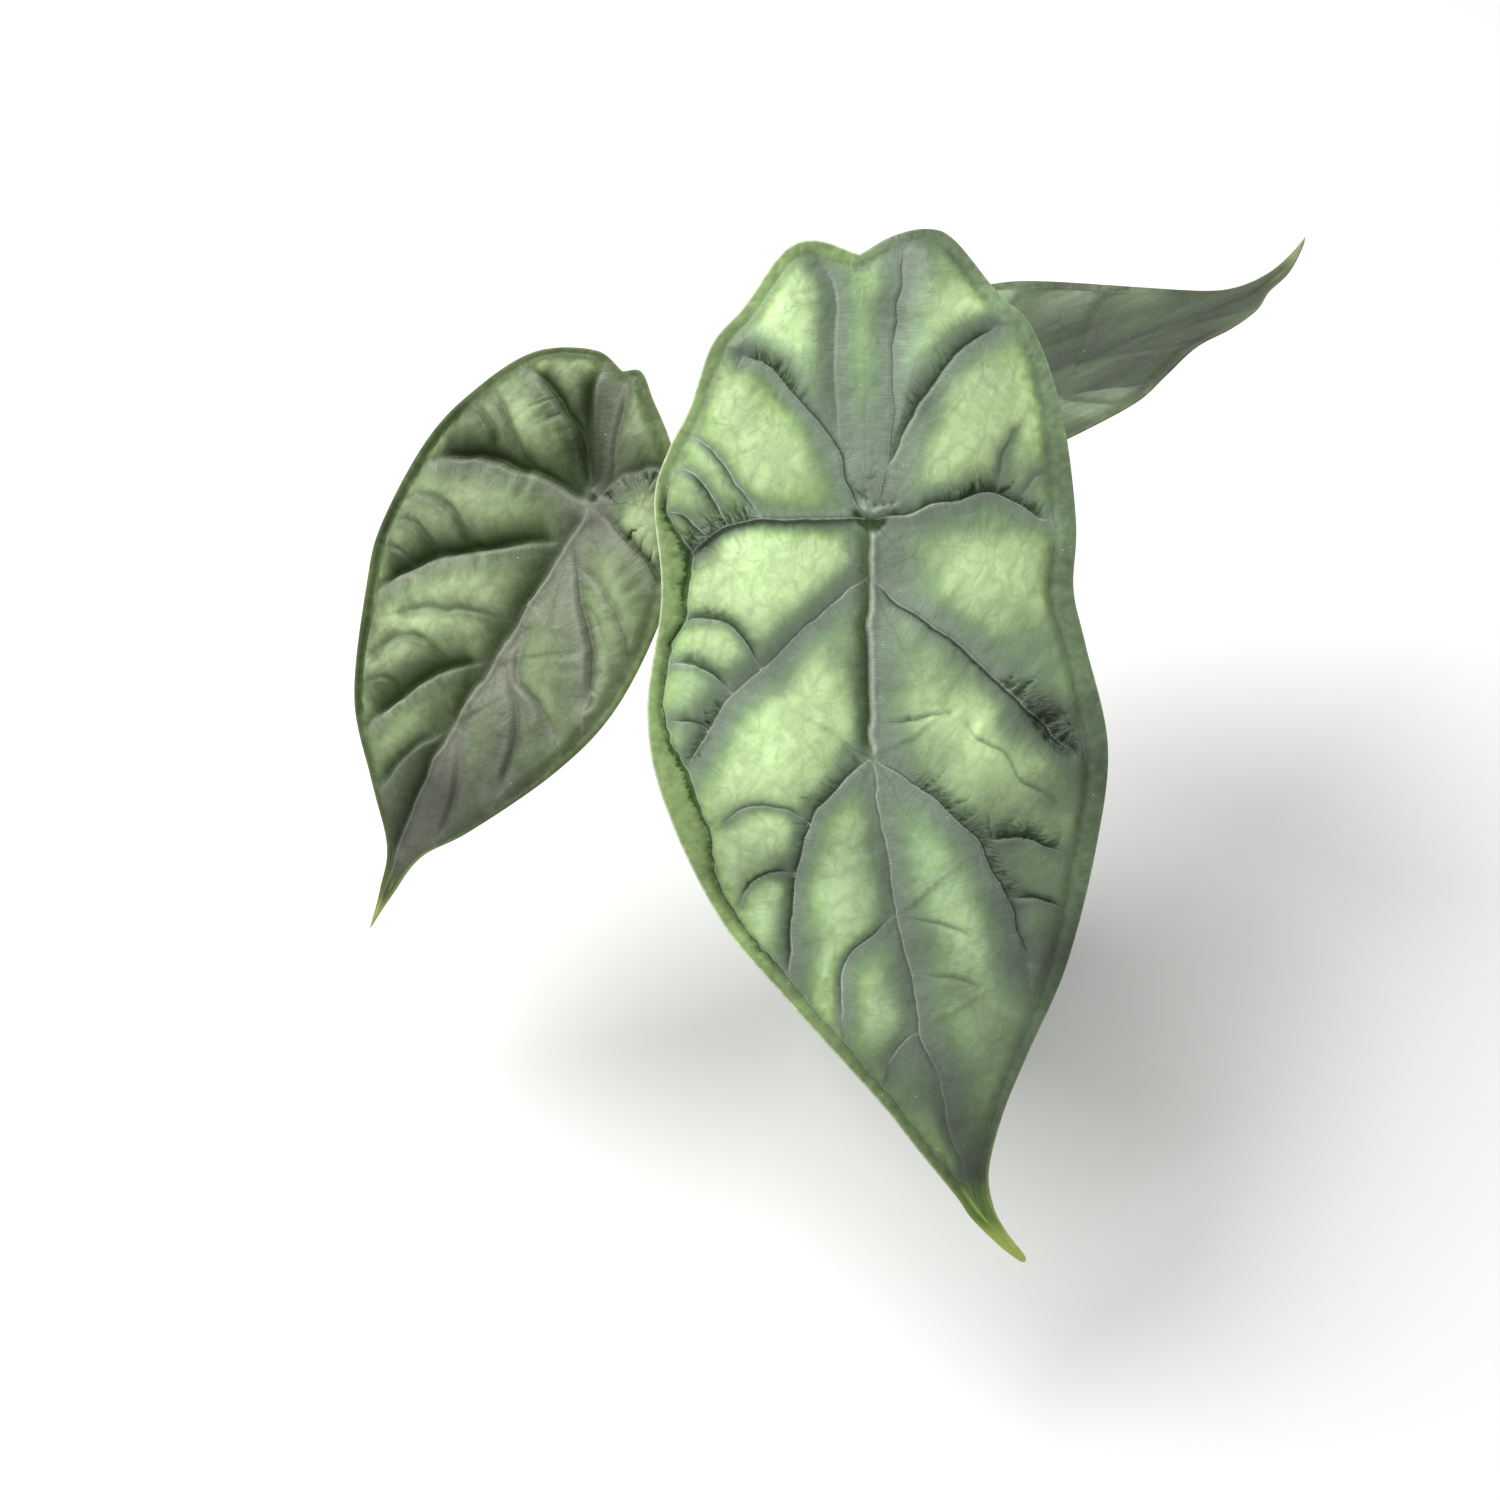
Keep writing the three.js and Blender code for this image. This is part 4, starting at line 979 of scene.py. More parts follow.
def blade_material(name, colours, blade):
    nodes = Nodes(name)
    across = nodes.attribute("across")
    tipward = nodes.attribute("tipward")
    brush_across = nodes.attribute("brush_across")
    brush_along = nodes.attribute("brush_along")
    band = nodes.attribute("band")
    leftness = nodes.attribute("leftness")
    under = nodes.attribute("under")
    flat = nodes.vector(across, tipward)
    cloud = nodes.noise(flat, 0.09, 3.0, 0.55)
    mottle = nodes.noise(flat, 0.42, 2.0)
    bend = nodes.noise(flat, 0.2, 2.0)
    grain = nodes.noise(flat, 0.9, 3.0, 0.6)
    speckle = nodes.noise(flat, 2.8, 2.0, 0.6)
    bristle = nodes.streaks(brush_along * 2.4, brush_across * 0.25, roughness=0.6)
    net_place = nodes.vector(across + bend * 6.0, tipward * 0.7 + bend * -5.0)
    net = nodes.cells(net_place, 0.24, "DISTANCE_TO_EDGE")

    # The panels, from their edges to their tops, with a fine net of veinlets; the darker edges and paler
    # tops are partly painted shade and light
    swing = (mottle - 0.5) * 0.6
    glow = nodes.attribute("core") + swing + (cloud - 0.5) * 0.6
    colour = nodes.mix(glow.ramp(0.08, 0.3), colours.olive, colours.green)
    colour = nodes.mix(glow.ramp(0.22, 0.6), colour, colours.lime)
    colour = nodes.mix(glow.ramp(0.5, 0.95), colour, colours.pale)
    cool = glow.ramp(0.3, 0.7) * tipward.ramp(45.0, 80.0, 0.0, 1.0 - blade.soft)
    colour = nodes.mix(cool, colour, COOL_TINT, "MULTIPLY")

    # The brushed grey bands along the veins
    grey = nodes.attribute("grey")
    grey_reach = grey + (bristle - 0.5) * 0.65 + swing * 0.5
    bristled = nodes.mix(bristle.ramp(0.3, 0.7, 0.0, 0.35), colours.grey, colours.teal)

    # Thin lines along the veins: the pale ridge, its paleness partly a painted highlight, and the crack
    # in the fold and the wrinkles, both darkened with painted shade
    close = nodes.attribute("closest").ramp(0.9, 1.5, 1.0, 0.0)
    fold_side = nodes.attribute("fold_side")
    ridge = abs(fold_side + 0.1).ramp(0.04, 0.24, 1.0, 0.0) * close * nodes.attribute("line")
    crack = fold_side.ramp(0.05, 0.25) * fold_side.ramp(0.3, 0.7, 1.0, 0.0)
    crack = crack * close * nodes.attribute("crack")
    wrinkle_along = brush_along * 0.8 + brush_across * -0.3
    wrinkles = nodes.streaks(wrinkle_along, brush_across * 0.2, roughness=0.6, distortion=0.4)
    wrinkles = abs(wrinkles - 0.5).ramp(0.01, 0.08, 1.0, 0.0)
    wrinkles = wrinkles * nodes.attribute("wrinkled").ramp(0.1, 0.9, 0.0, 0.85)

    # The flat border, and the jagged groove inside it darkened with painted shade, with a pale seam at
    # its bottom, its paleness partly a painted highlight
    past = nodes.attribute("past")
    groove = nodes.attribute("groove")
    jagged = nodes.streaks(nodes.attribute("around") * 0.9, past * 0.25, 4.0, 0.7)
    jags = jagged.ramp(0.35, 0.68, 0.55, 1.45) * nodes.attribute("dark_reach")
    seam = abs(past - 0.35).ramp(0.05, 0.3, 1.0, 0.0) * (groove * 0.6)
    groove_shade = nodes.math("MULTIPLY", past.ramp(0.0, 0.25, 1.0, 0.0), groove, clamp=True)
    groove = (past + jags).ramp(0.0, 0.5) * groove_shade
    ridge = ridge * mottle.ramp(0.35, 0.55, 0.55, 1.0)
    ridge = nodes.math("MAXIMUM", ridge, nodes.attribute("strip") * 0.65)
    ridge = nodes.math("MAXIMUM", ridge, seam)

    colour = nodes.layers(
        colour,
        (net.ramp(0.0, 0.4, 0.22, 0.0), colours.green),
        (net.ramp(0.0, 0.1, 0.12, 0.0), colours.green),
        (grey_reach.ramp(0.05, 0.6, 0.0, 0.9), colours.teal),
        (grey_reach.ramp(0.45, 1.0, 0.0, 0.95), bristled),
        (band * 0.8, nodes.mix(leftness, colours.band, colours.band_left)),
        (nodes.attribute("valley"), colours.valley),
        (nodes.attribute("shadow").ramp(0.0, 1.0, 0.0, 0.92), colours.shadow),
        (crack * 0.7, colours.shadow),
        (wrinkles, colours.shadow),
        (groove * 0.92, colours.groove),
        (ridge, colours.vein),
        (nodes.attribute("cream"), colours.rim),
    )

    # Uneven light and dark over all of it: random tone, painted shade and light from the clouds and
    # dents, and painted light on the tops of the fine ribs; then specks of dust
    border_streaks = jagged.ramp(0.3, 0.7, 0.07, -0.07) + mottle.ramp(0.3, 0.7, -0.1, 0.1)
    long_streaks = nodes.streaks(across * 0.16, tipward * 0.022, roughness=0.55)
    light = nodes.attribute("light")
    for variation in (
        speckle.ramp(0.25, 0.75, 0.97, 1.03),
        grain.ramp(0.25, 0.75, 0.96, 1.04),
        bristle.ramp(0.25, 0.75, 0.9, 1.1),
        mottle.ramp(0.25, 0.75, 0.95, 1.05),
        nodes.attribute("ribs") * 0.45 + 1.0,
        border_streaks * band + 1.0,
        long_streaks.ramp(0.3, 0.7, 1 - 0.45 * blade.streaks, 1 + 0.4 * blade.streaks),
    ):
        light = light * variation
    colour = nodes.mix(1.0, colour, light, "MULTIPLY")
    dust = nodes.cells(flat, 0.42).ramp(0.035, 0.06, 1.0, 0.0)
    dust = dust * nodes.noise(flat, 0.21, 1.0).ramp(0.56, 0.6)

    # The yellow-green tip, dark-striped at its start
    tip = blade.rib[-1][1]
    lanes = nodes.streaks(nodes.attribute("lane") * 3.0, tipward * 0.05, 2.0)
    striped = nodes.mix(lanes.ramp(0.26, 0.46), colours.tip, colours.stripe)
    striped = nodes.mix(tipward.ramp(tip - 10, tip - 4), striped, colours.tip)
    tip_edge = nodes.attribute("tip_edge") * leftness.ramp(0.0, 1.0, 0.45, 0.25)

    # The underside: paler, with raised veins and a thin maroon flush along them
    back_vein = nodes.attribute("back_vein")
    flush = back_vein.ramp(0.55, 1.0) * cloud.ramp(0.35, 0.65, 0.15, 0.6)
    back = nodes.layers(
        nodes.mix(glow.ramp(0.1, 0.8, 0.55, 0.0), colours.back, colours.lime),
        (mottle.ramp(0.3, 0.7, 0.0, 0.3), colours.back_vein),
        (net.ramp(0.0, 0.12, 0.35, 0.0), colours.back_vein),
        (back_vein.ramp(0.15, 1.0), colours.back_vein),
        (flush, MAROON),
    )
    colour = nodes.layers(
        colour,
        (dust * 0.75, DUST_COLOUR),
        (tipward.ramp(tip - 20, tip - 10, 0.0, 0.95), striped),
        (tip_edge, colours.tip),
        (under, back),
    )

    height = speckle * 0.08 + grain * 0.15 + net.ramp(0.0, 0.25, -0.25, 0.0)
    height = height + bristle * grey * 0.5 + mottle * 0.35 + (ridge * 0.5 - crack) - wrinkles
    height = height * under.ramp(0.0, 1.0, 1.0, 0.06)
    roughness = mottle.ramp(0.3, 0.7, 0.42, 0.55) + under * 0.2
    return nodes.finish(colour, roughness, height, strength=0.6, depth=0.5, specular=blade.gloss)


def grow_blade(side, blade, colours):
    piece = blade_mesh(f"{side}_blade", blade)
    dress(piece, f"blade_{side}", blade_material(f"blade_{side}", colours, blade), f"leaf_{side}")


# Pot and what it holds, as in the model
POT_HEIGHT = 70
POT_BASE_RADIUS = 26
POT_WALL_TOP_RADIUS = 35.5
POT_RIM_RADIUS = 37.5
POT_RIM_FOOT = 63
POT_WALL = 1.5
POT_FLOOR = 2
POT_SIDES = 180
POT_CORNER = 0.7
POT_SHARP_ANGLE = math.radians(38)
FOOT_RING_WIDTH = 3.5
FOOT_HOLLOW = 0.9
DRAIN_SLOTS = 6
DRAIN_SLOT_WIDTH = 3.6
DRAIN_SLOT_LENGTH = 9
DRAIN_SLOT_RADIUS = 15.5
DRAIN_SLOT_END_STEPS = 8
SEAT_GAP = 0.3
MIX_HEIGHT = 61.5
MIX_DOME = 1.5
MIX_RINGS = 60
MIX_SIDES = 240
MIX_CHAMFER = 0.6

# The mix's bumps, as height, size and seed, and where the loose pieces lie on it
MIX_BUMPS = [(0.75, 5.5, 61), (0.5, 2.1, 62), (0.28, 0.9, 63)]
STREWN_FROM = 11.5
STREWN_TO = 31
CORM_MARGIN = 10.5
WALL_MARGIN = 33

CORM_FOOT = 46
CORM_TOP = 71
CORM_RADIUS = 8
CORM_RINGS = 56
CORM_SIDES = 96
CORM_RING_DEPTH = 0.22
CORM_RING_SPACING = 2.3
CORM_KNOB_HEIGHT = 0.2

STALK_ROOT_OFFSET = 4.3
STALK_ROOT_RADIUS = 3.2
STALK_NECK_RADIUS = 2.1
STALK_SOCKET = 0.9
STALK_NECK_SINK = 0.9
STALK_RINGS = 170
STALK_SIDES = 48
STALK_CURVE_STEPS = 400

# A stalk's section, in shares of its radius and in radians from the middle of its channel
CHANNEL_DEPTH = 0.14
CHANNEL_WIDTH = 0.45
WING_HEIGHT = 0.16
WING_PLACE = 0.75
WING_WIDTH = 0.22
STALK_RIBS = 12
STALK_RIB_HEIGHT = 0.018

# How far a stalk widens at its neck and at its root, and over what length
NECK_FLARE = (1.5, 2.2)
ROOT_FLARE = (0.3, 1.8)

# A bract: the rows and columns of its mesh, how far it stands off the corm and curls out at its
# top, its thickness, how much its top slopes to the sides and how much it narrows
BRACT_ROWS = 44
BRACT_COLUMNS = 56
BRACT_GAP = 0.55
BRACT_CURL = 1.3
BRACT_THICKNESS = 0.75
BRACT_SLOPE = 0.42
BRACT_NARROWING = 0.25


def wall_radius(height):
    return blend(POT_BASE_RADIUS, POT_WALL_TOP_RADIUS, height / POT_RIM_FOOT)


def rounded(profile, radius, steps=5):
    """The profile with each inner corner turned into a small arc-like bend."""
    profile = np.array(profile, float)
    points = [profile[0]]
    for before, corner, after in zip(profile, profile[1:], profile[2:]):
        back = before - corner
        on = after - corner
        reach = min(radius, 0.45 * np.linalg.norm(back), 0.45 * np.linalg.norm(on))
        start = corner + back / np.linalg.norm(back) * reach
        end = corner + on / np.linalg.norm(on) * reach
        for share in np.linspace(0, 1, steps + 1):
            rest = 1 - share
            points.append(rest**2 * start + 2 * share * rest * corner + share**2 * end)
    return np.array([*points, profile[-1]])


def revolved(name, profile, sides, shape=None):
    """A turned skin from [radius, height] points; the first and last lie on the axis."""
    angles = np.arange(sides) * math.tau / sides
    inner = np.array(profile[1:-1], float)
    radius = np.repeat(inner[:, :1], sides, 1)
    height = np.repeat(inner[:, 1:], sides, 1)
    if shape:
        radius, height = shape(radius, height, angles[None, :])
    rings = np.stack([radius * np.cos(angles), radius * np.sin(angles), height], -1).reshape(-1, 3)
    foot = len(rings)
    top = foot + 1
    number = ring_numbers(len(inner), sides)
    faces = grid_faces(number)
    lowest = number[0].tolist()
    highest = number[-1].tolist()
    for side in range(sides):
        faces.append((foot, lowest[side + 1], lowest[side]))
        faces.append((top, highest[side], highest[side + 1]))
    ends = [(0, 0, profile[0][1]), (0, 0, profile[-1][1])]
    return add_mesh(name, np.vstack([rings, ends]), faces)


def turn_matrix(axis, angle):
    """The turn by this angle about the x, y or z axis, given as 0, 1 or 2."""
    a = (axis + 1) % 3
    b = (axis + 2) % 3
    matrix = np.eye(3)
    matrix[a, a] = matrix[b, b] = math.cos(angle)
    matrix[b, a] = math.sin(angle)
    matrix[a, b] = -math.sin(angle)
    return matrix


def slot_cutter():
    """One mesh that holds the drain slots' plugs, for cutting them out of the pot's floor."""
    soft = bmesh.new()
    half_run = (DRAIN_SLOT_LENGTH - DRAIN_SLOT_WIDTH) / 2
    outline = []
    for end, start_angle in ((half_run, -math.pi / 2), (-half_run, math.pi / 2)):
        for step in range(DRAIN_SLOT_END_STEPS + 1):
            angle = start_angle + step * math.pi / DRAIN_SLOT_END_STEPS
            x = DRAIN_SLOT_RADIUS + end + math.cos(angle) * DRAIN_SLOT_WIDTH / 2
            outline.append((x, math.sin(angle) * DRAIN_SLOT_WIDTH / 2, 2 * POT_FLOOR))
    for number in range(DRAIN_SLOTS):
        high_places = np.array(outline) @ turn_matrix(2, number * math.tau / DRAIN_SLOTS).T * MM
        low = []
        high = []
        for place in high_places:
            low.append(soft.verts.new(place * (1, 1, -1)))
            high.append(soft.verts.new(place))
        soft.faces.new(low[::-1])
        soft.faces.new(high)
        for k in range(len(low)):
            following = (k + 1) % len(low)
            soft.faces.new((low[k], low[following], high[following], high[k]))
    mesh = bpy.data.meshes.new("slot_cutter")
    soft.to_mesh(mesh)
    soft.free()
    cutter = bpy.data.objects.new("slot_cutter", mesh)
    bpy.context.scene.collection.objects.link(cutter)
    return cutter


def carve(piece, cutter):
    cut = piece.modifiers.new("cut", "BOOLEAN")
    cut.operation = "DIFFERENCE"
    cut.solver = "EXACT"
    cut.object = cutter
    bpy.context.view_layer.update()
    graph = bpy.context.evaluated_depsgraph_get()
    carved = bpy.data.meshes.new_from_object(piece.evaluated_get(graph))
    piece.modifiers.clear()
    piece.data = carved
    bpy.data.objects.remove(cutter)


def plastic_material():
    nodes = Nodes("pot_plastic")
    place = nodes.object_place()
    grain = nodes.noise(place, 2600, 2.0, 0.6)
    smear = nodes.noise(place, 55, 4.0, 0.6)
    colour = nodes.mix(smear.ramp(0.3, 0.75), (0.022, 0.024, 0.023), (0.04, 0.042, 0.04))
    level = nodes.add("ShaderNodeSeparateXYZ", {"Vector": place}, "Z")
    dust = level.ramp(0.064, 0.07, 0.0, 0.5) * smear.ramp(0.45, 0.7)
    colour = nodes.mix(dust, colour, (0.12, 0.09, 0.06))
    roughness = smear.ramp(0.25, 0.75, 0.36, 0.58)
    height = grain * 0.5 + smear * 0.5
    return nodes.finish(colour, roughness, height, strength=0.25, depth=0.2, specular=0.5)


def build_pot():
    foot_ring = POT_BASE_RADIUS - FOOT_RING_WIDTH
    inner_foot = wall_radius(POT_FLOOR) - POT_WALL
    inner_shoulder = POT_WALL_TOP_RADIUS - POT_WALL
    profile = [
        (0, FOOT_HOLLOW), (foot_ring - 1, FOOT_HOLLOW), (foot_ring, 0), (POT_BASE_RADIUS, 0),
        (POT_WALL_TOP_RADIUS, POT_RIM_FOOT), (POT_RIM_RADIUS, POT_RIM_FOOT),
        (POT_RIM_RADIUS, POT_HEIGHT), (inner_shoulder, POT_HEIGHT), (inner_shoulder, POT_RIM_FOOT),
        (inner_foot, POT_FLOOR), (0, POT_FLOOR),
    ]
    pot = revolved("pot", rounded(profile, POT_CORNER), POT_SIDES)
    carve(pot, slot_cutter())
    pot.data.shade_smooth()
    pot.data.set_sharp_from_angle(angle=POT_SHARP_ANGLE)
    dress(pot, "pot", plastic_material(), "pot")


def soil_height(x, y):
    """The potting mix's surface, with its crumbs and hollows."""
    radius = np.hypot(x, y)
    dome = MIX_DOME * (1 - smoothstep(14, 34, radius))
    calm = smoothstep(9, 15, radius)
    bumps = 0.0
    for height, size, seed in MIX_BUMPS:
        bumps = bumps + height * lattice_noise(x / size + 20, y / size + 20, seed)
    return MIX_HEIGHT + dome + (0.25 + 0.75 * calm) * bumps - 0.2


def soil_material():
    nodes = Nodes("soil")
    place = nodes.object_place()
    crumb = nodes.cells(place, 620)
    grain = nodes.noise(place, 1500, 4.0, 0.65)
    damp = nodes.noise(place, 120)
    colour = nodes.mix(damp.ramp(0.3, 0.7), (0.024, 0.014, 0.008), (0.06, 0.036, 0.02))
    colour = nodes.mix(grain.ramp(0.55, 0.8), colour, (0.13, 0.085, 0.05))
    roughness = damp.ramp(0.3, 0.7, 0.75, 0.95)
    height = crumb * 0.8 + grain * 0.8
    return nodes.finish(colour, roughness, height, strength=0.9, depth=0.6, specular=0.25)


def fill_pot():
    foot = POT_FLOOR + SEAT_GAP
    socket = CORM_RADIUS + SEAT_GAP
    outer = wall_radius(MIX_HEIGHT) - POT_WALL - SEAT_GAP
    inner_foot = wall_radius(foot) - POT_WALL - SEAT_GAP
    profile = [(0, foot), (inner_foot - MIX_CHAMFER, foot), (inner_foot, foot + MIX_CHAMFER)]
    profile += [(outer, MIX_HEIGHT - MIX_CHAMFER)]
    profile += [(radius, MIX_HEIGHT) for radius in np.linspace(outer - 0.2, socket, MIX_RINGS)]
    profile += [(socket, CORM_FOOT - SEAT_GAP), (0, CORM_FOOT - SEAT_GAP)]

    def crumble(radius, height, angles):
        surface = soil_height(radius * np.cos(angles), radius * np.sin(angles))
        return radius, np.where(height == MIX_HEIGHT, surface, height)

    mix = revolved("potting_mix", profile, MIX_SIDES, crumble)
    dress(mix, "potting_mix", soil_material(), "potting_mix")


def chunk(rng, shape, corners):
    """The angular hull of random points in an ellipsoid, as points and faces."""
    points = rng.normal(size=(corners, 3))
    points /= np.linalg.norm(points, axis=1)[:, None]
    points *= np.array(shape) * rng.uniform(0.75, 1, (corners, 1))
    soft = bmesh.new()
    for point in points:
        soft.verts.new(point)
    hull = bmesh.ops.convex_hull(soft, input=soft.verts)
    spare = [v for v in hull["geom_interior"] if isinstance(v, bmesh.types.BMVert)]
    bmesh.ops.delete(soft, geom=spare, context="VERTS")
    soft.verts.index_update()
    corner_points = np.array([tuple(v.co) for v in soft.verts])
    faces = [[v.index for v in face.verts] for face in soft.faces]
    soft.free()
    return corner_points, faces


def turned_by(rng, tilt):
    """A random heading with a random lean of at most tilt, as a matrix."""
    heading = rng.uniform(0, math.tau)
    lean = rng.uniform(-tilt, tilt)
    roll = rng.uniform(-tilt, tilt)
    return turn_matrix(2, heading) @ turn_matrix(0, lean) @ turn_matrix(1, roll)


def scatter(name, count, shapes, corners, tilt, material, seed, smooth=False):
    """Chunks of the given shapes strewn over the mix, joined into one piece."""
    rng = np.random.default_rng(seed)
    vertices = []
    faces = []
    tones = []
    placed = 0
    while placed < count:
        distance = math.sqrt(rng.uniform(STREWN_FROM**2, STREWN_TO**2))
        angle = rng.uniform(0, math.tau)
        shape = np.array(shapes[rng.integers(len(shapes))]) * rng.uniform(0.7, 1.25)
        if distance + shape[0] > WALL_MARGIN or distance - shape[0] < CORM_MARGIN:
            continue
        x = distance * math.cos(angle)
        y = distance * math.sin(angle)
        ground = soil_height(x, y)
        points, hull = chunk(rng, shape, corners)
        points = points @ turned_by(rng, tilt).T + (x, y, ground + shape[2] * rng.uniform(0.1, 0.6))
        first = len(vertices)
        vertices += points.tolist()
        faces += [[first + corner for corner in face] for face in hull]
        tones += [rng.uniform()] * len(points)
        placed += 1
    piece = add_mesh(name, vertices, faces, smooth)
    set_attribute(piece.data, "tone", tones)
    dress(piece, "potting_mix", material)


def bark_material():
    nodes = Nodes("bark")
    tone = nodes.attribute("tone")
    layers = nodes.noise(nodes.object_place(), 900, 4.0, 0.7, 0.6)
    dark = nodes.mix(tone, (0.045, 0.022, 0.011), (0.14, 0.075, 0.038))
    light = nodes.mix(tone, (0.16, 0.095, 0.05), (0.3, 0.2, 0.115))
    colour = nodes.mix(layers.ramp(0.35, 0.68), dark, light)
    roughness = layers.ramp(0.3, 0.7, 0.7, 0.9)
    return nodes.finish(colour, roughness, layers, strength=0.8, depth=0.5, specular=0.3)


def perlite_material():
    nodes = Nodes("perlite")
    place = nodes.object_place()
    pores = nodes.cells(place, 2300)
    grime = nodes.noise(place, 400, 3.0, 0.6)
    colour = nodes.mix(grime.ramp(0.4, 0.8, 0.0, 0.6), (0.78, 0.76, 0.71), (0.4, 0.33, 0.25))
    roughness = grime.ramp(0.3, 0.7, 0.8, 0.95)
    return nodes.finish(colour, roughness, pores, strength=0.7, depth=0.4, specular=0.3)


def corm_material():
    nodes = Nodes("corm")
    place = nodes.object_place()
    fibre = nodes.noise(place, 700, 5.0, 0.7, 0.8)
    patch = nodes.noise(place, 160, 3.0, 0.55)
    colour = nodes.mix(patch.ramp(0.3, 0.7), (0.1, 0.062, 0.034), (0.23, 0.17, 0.09))
    colour = nodes.mix(fibre.ramp(0.5, 0.75), colour, (0.05, 0.03, 0.018))
    roughness = patch.ramp(0.3, 0.7, 0.6, 0.85)
    return nodes.finish(colour, roughness, fibre, strength=0.8, depth=0.5, specular=0.3)


def grow_corm():
    heights = np.linspace(CORM_FOOT + 0.5, CORM_TOP - 1.1, CORM_RINGS)
    levels = [CORM_FOOT, CORM_FOOT + 4, CORM_FOOT + 10, CORM_TOP - 3, CORM_TOP]
    radii = np.interp(heights, levels, [5, 7.2, CORM_RADIUS, 7.9, 7.4])
    profile = [(0, CORM_FOOT), (4.6, CORM_FOOT)]
    profile += [(radius - 0.2, height) for radius, height in zip(radii, heights)]
    profile += [(6.9, CORM_TOP - 0.5), (6.0, CORM_TOP - 0.2), (4, CORM_TOP - 0.15)]
    profile += [(2, CORM_TOP - 0.2), (0, CORM_TOP - 0.2)]

    def roughen(radius, height, angles):
        rings = np.abs(np.sin(height * math.pi / CORM_RING_SPACING + 0.5 * np.sin(angles * 2)))
        knobs = lattice_noise(height / 1.7 + 30, 8 + 8 * np.cos(angles) + 0 * height, 71)
        return radius - CORM_RING_DEPTH * rings + CORM_KNOB_HEIGHT * knobs, height

    corm = revolved("corm", profile, CORM_SIDES, roughen)
    dress(corm, "corm", corm_material(), "corm")


def stalk_curve(blade, outward):
    """Places along the stalk from the corm to the blade's hub."""
    facing = blade_axes(blade)[2]
    root = STALK_ROOT_OFFSET * outward + (0, 0, CORM_TOP + SEAT_GAP)
    neck = np.array(blade.hub) - facing * STALK_SOCKET
    root_handle = root + (0, 0, blade.rise)
    neck_handle = neck - facing * blade.reach
    share = np.linspace(0, 1, STALK_CURVE_STEPS)[:, None]
    rest = 1 - share
    rising = rest**3 * root + 3 * rest**2 * share * root_handle
    return rising + 3 * rest * share**2 * neck_handle + share**3 * neck


def stalk_material(side, mottle):
    nodes = Nodes(f"stalk_{side}")
    reach = nodes.attribute("reach")
    turn = nodes.attribute("turn")
    flecks = nodes.streaks(reach * 1.5, turn * 0.75, 4.0, 0.65, 0.4)
    fibres = nodes.streaks(reach * 0.06, turn * 3.2, roughness=0.6)
    cloud = nodes.streaks(reach * 0.08, turn * 0.15, 2.0)
    green = nodes.mix(cloud.ramp(0.3, 0.7), (0.2, 0.29, 0.1), (0.34, 0.43, 0.18))
    colour = nodes.layers(
        green,
        (fibres.ramp(0.35, 0.7, 0.0, 0.4), (0.42, 0.48, 0.26)),
        (flecks.ramp(0.5, 0.64, 0.0, mottle), (0.15, 0.07, 0.045)),
        (reach.ramp(4, 26, 0.7, 0.0), (0.3, 0.2, 0.12)),
    )
    roughness = cloud.ramp(0.3, 0.7, 0.38, 0.52)
    height = fibres + flecks * 0.25
    return nodes.finish(colour, roughness, height, strength=0.45, depth=0.3, specular=0.45)


def grow_stalk(side, blade, mottle):
    """A tapering stalk with a channel on its inner side between two low wings."""
    azimuth = math.radians(blade.root_azimuth)
    outward = np.array([math.cos(azimuth), math.sin(azimuth), 0])
    curve = stalk_curve(blade, outward)
    reached = distance_along(curve)
    length = reached[-1] - STALK_NECK_SINK
    along = np.linspace(0, length, STALK_RINGS)
    centres = points_at(curve, reached, along)
    ahead = np.gradient(centres, axis=0)
    ahead /= np.linalg.norm(ahead, axis=1)[:, None]
    turn = np.arange(STALK_SIDES) * math.tau / STALK_SIDES
    from_channel = np.angle(np.exp(1j * (turn - math.pi)))
    channel = CHANNEL_DEPTH * bell(from_channel, CHANNEL_WIDTH)
    ridges = bell(np.abs(from_channel) - WING_PLACE, WING_WIDTH)
    ribs = STALK_RIB_HEIGHT * np.cos(turn * STALK_RIBS)
    share = along / length
    radii = blend(STALK_ROOT_RADIUS, STALK_NECK_RADIUS, np.sqrt(share))
    flares = NECK_FLARE[0] * bell(length - along, NECK_FLARE[1], 1)
    flares += ROOT_FLARE[0] * bell(along, ROOT_FLARE[1], 1)
    wings = WING_HEIGHT * (1 - smoothstep(0.05, 0.34, share))
    rings = []
    for centre, direction, radius, flare, wing in zip(centres, ahead, radii, flares, wings):
        outward = outward - direction * outward.dot(direction)
        outward /= np.linalg.norm(outward)
        beside = np.cross(direction, outward)
        size = radius * (1 - channel + wing * ridges + ribs) + flare
        ring = np.outer(np.cos(turn) * size, outward) + np.outer(np.sin(turn) * size, beside)
        rings.append(centre + ring)
    number = ring_numbers(STALK_RINGS, STALK_SIDES)
    faces = grid_faces(number)
    faces.append(number[0, -2::-1].tolist())
    faces.append(number[-1, :-1].tolist())
    piece = add_mesh(f"{side}_stalk", np.vstack(rings), faces)
    set_attribute(piece.data, "reach", np.repeat(along, STALK_SIDES))
    set_attribute(piece.data, "turn", np.tile(np.abs(turn - math.pi) * 3, STALK_RINGS))
    dress(piece, "stalk", stalk_material(side, mottle), f"petiole_{side}")


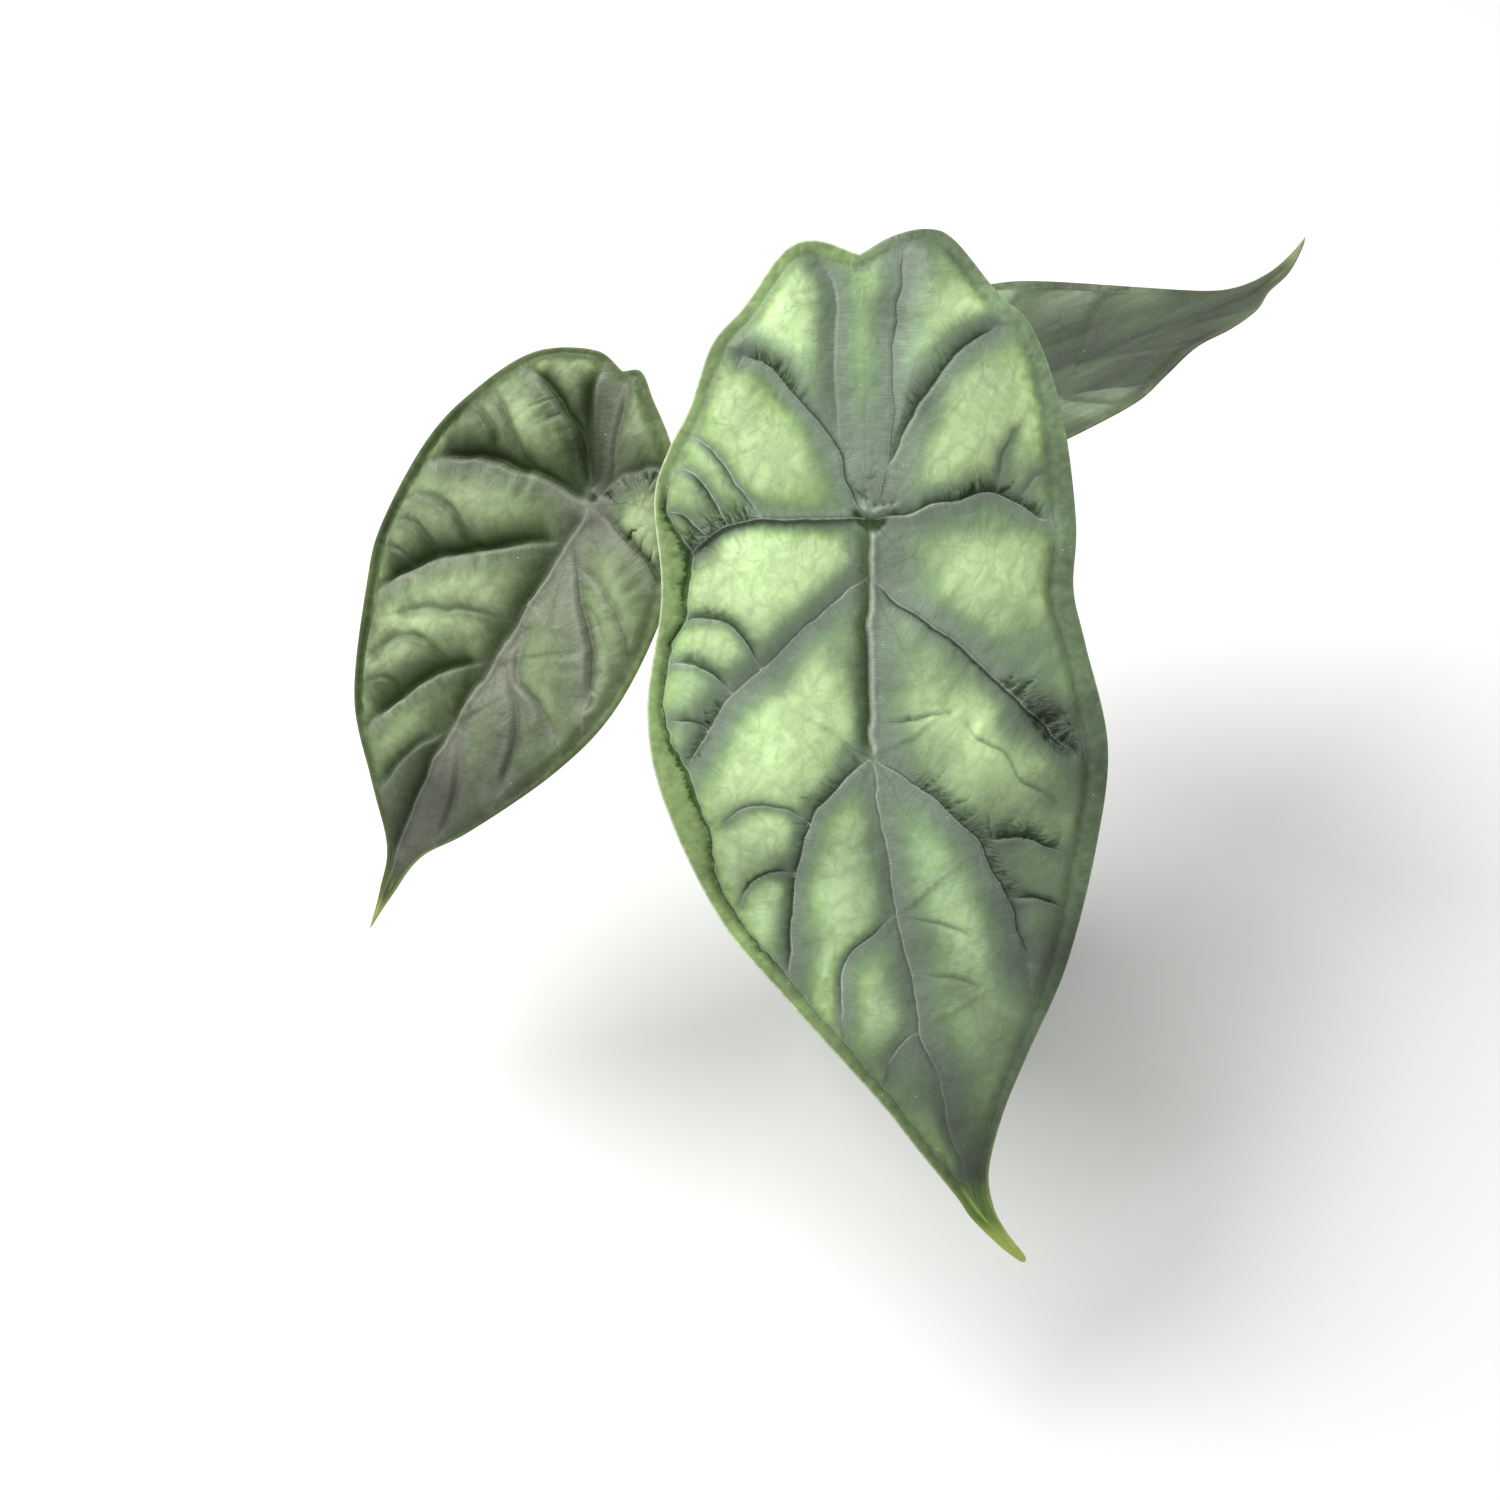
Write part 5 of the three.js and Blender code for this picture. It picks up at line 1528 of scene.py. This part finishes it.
def bract_material():
    nodes = Nodes("bract")
    place = nodes.object_place()
    stretched = nodes.add("ShaderNodeMapping", {"Vector": place, "Scale": (1, 1, 0.12)}, "Vector")
    fibres = nodes.noise(stretched, 1500, 4.0, 0.65)
    stain = nodes.noise(place, 210, 3.0, 0.6)
    colour = nodes.mix(fibres.ramp(0.35, 0.68), (0.2, 0.125, 0.065), (0.44, 0.33, 0.2))
    colour = nodes.mix(stain.ramp(0.52, 0.75, 0.0, 0.75), colour, (0.09, 0.05, 0.028))
    roughness = fibres.ramp(0.3, 0.7, 0.62, 0.8)
    return nodes.finish(colour, roughness, fibres, strength=0.7, depth=0.35, specular=0.3)


def grow_bract(name, azimuth, half_span, height, seed, material):
    """A dry sheath that clasps the corm, with a ragged pointed top that curls outward."""
    up = np.linspace(0, 1, BRACT_ROWS)[:, None]
    aside = np.linspace(-1, 1, BRACT_COLUMNS)[None, :]
    tatter = 0.1 * lattice_noise(aside * 7 + 20 + 0 * up, 0 * aside + 5 + 0 * up, seed) * up
    top = 1 - BRACT_SLOPE * np.abs(aside) ** 1.8 + tatter
    z = MIX_HEIGHT + MIX_DOME + SEAT_GAP + height * up * top
    narrow = 1 - BRACT_NARROWING * up**1.5
    angle = math.radians(azimuth) + math.radians(half_span) * aside * narrow
    wave = 0.12 * lattice_noise(aside * 3 + 30, up * 3 + 30, seed + 1)
    curl = BRACT_CURL * up**2.5 + 0.35 * np.abs(aside) ** 3 * up
    inner = CORM_RADIUS + BRACT_GAP + curl + wave * up
    outer = inner + BRACT_THICKNESS - 0.35 * up - 0.2 * np.abs(aside) ** 4
    heading = (np.cos(angle), np.sin(angle))
    skins = [np.stack([radius * heading[0], radius * heading[1], z], -1) for radius in (outer, inner)]
    number = np.arange(z.size).reshape(z.shape)
    faces = grid_faces(number) + grid_faces(number + z.size, (3, 2, 1, 0))
    rim = [*number[0], *number[1:, -1], *number[-1, -2::-1], *number[-2:0:-1, 0]]
    for here, following in zip(rim, rim[1:] + rim[:1]):
        inner_here = z.size + here
        inner_following = z.size + following
        faces.append([int(corner) for corner in (following, here, inner_here, inner_following)])
    piece = add_mesh(name, np.vstack(skins).reshape(-1, 3), faces)
    dress(piece, "bract", material, name)


place_camera()
light_studio()
lay_floor()
grow_blade("front", FRONT, FRONT_COLOURS)
grow_blade("left", LEFT, LEFT_COLOURS)
grow_blade("right", RIGHT, RIGHT_COLOURS)
grow_stalk("front", FRONT, mottle=0.75)
grow_stalk("left", LEFT, mottle=0.85)
grow_stalk("right", RIGHT, mottle=0.65)
build_pot()
fill_pot()
bark_shapes = [(3.6, 2.0, 0.9), (2.6, 1.8, 0.8), (1.8, 1.2, 0.7)]
crumb_shapes = [(1.0, 0.8, 0.6), (0.7, 0.6, 0.5)]
perlite_shapes = [(1.2, 1.0, 0.9), (0.8, 0.7, 0.7)]
bark = bark_material()
scatter("bark_chips", 95, bark_shapes, corners=14, tilt=0.45, material=bark, seed=81)
scatter("crumbs", 260, crumb_shapes, corners=10, tilt=1.5, material=bark, seed=82)
white = perlite_material()
scatter("perlite", 70, perlite_shapes, corners=26, tilt=1.5, material=white, seed=83, smooth=True)
grow_corm()
dry_sheath = bract_material()
grow_bract("sheath_front", azimuth=-48, half_span=32, height=17, seed=91, material=dry_sheath)
grow_bract("sheath_rear", azimuth=28, half_span=26, height=13, seed=95, material=dry_sheath)
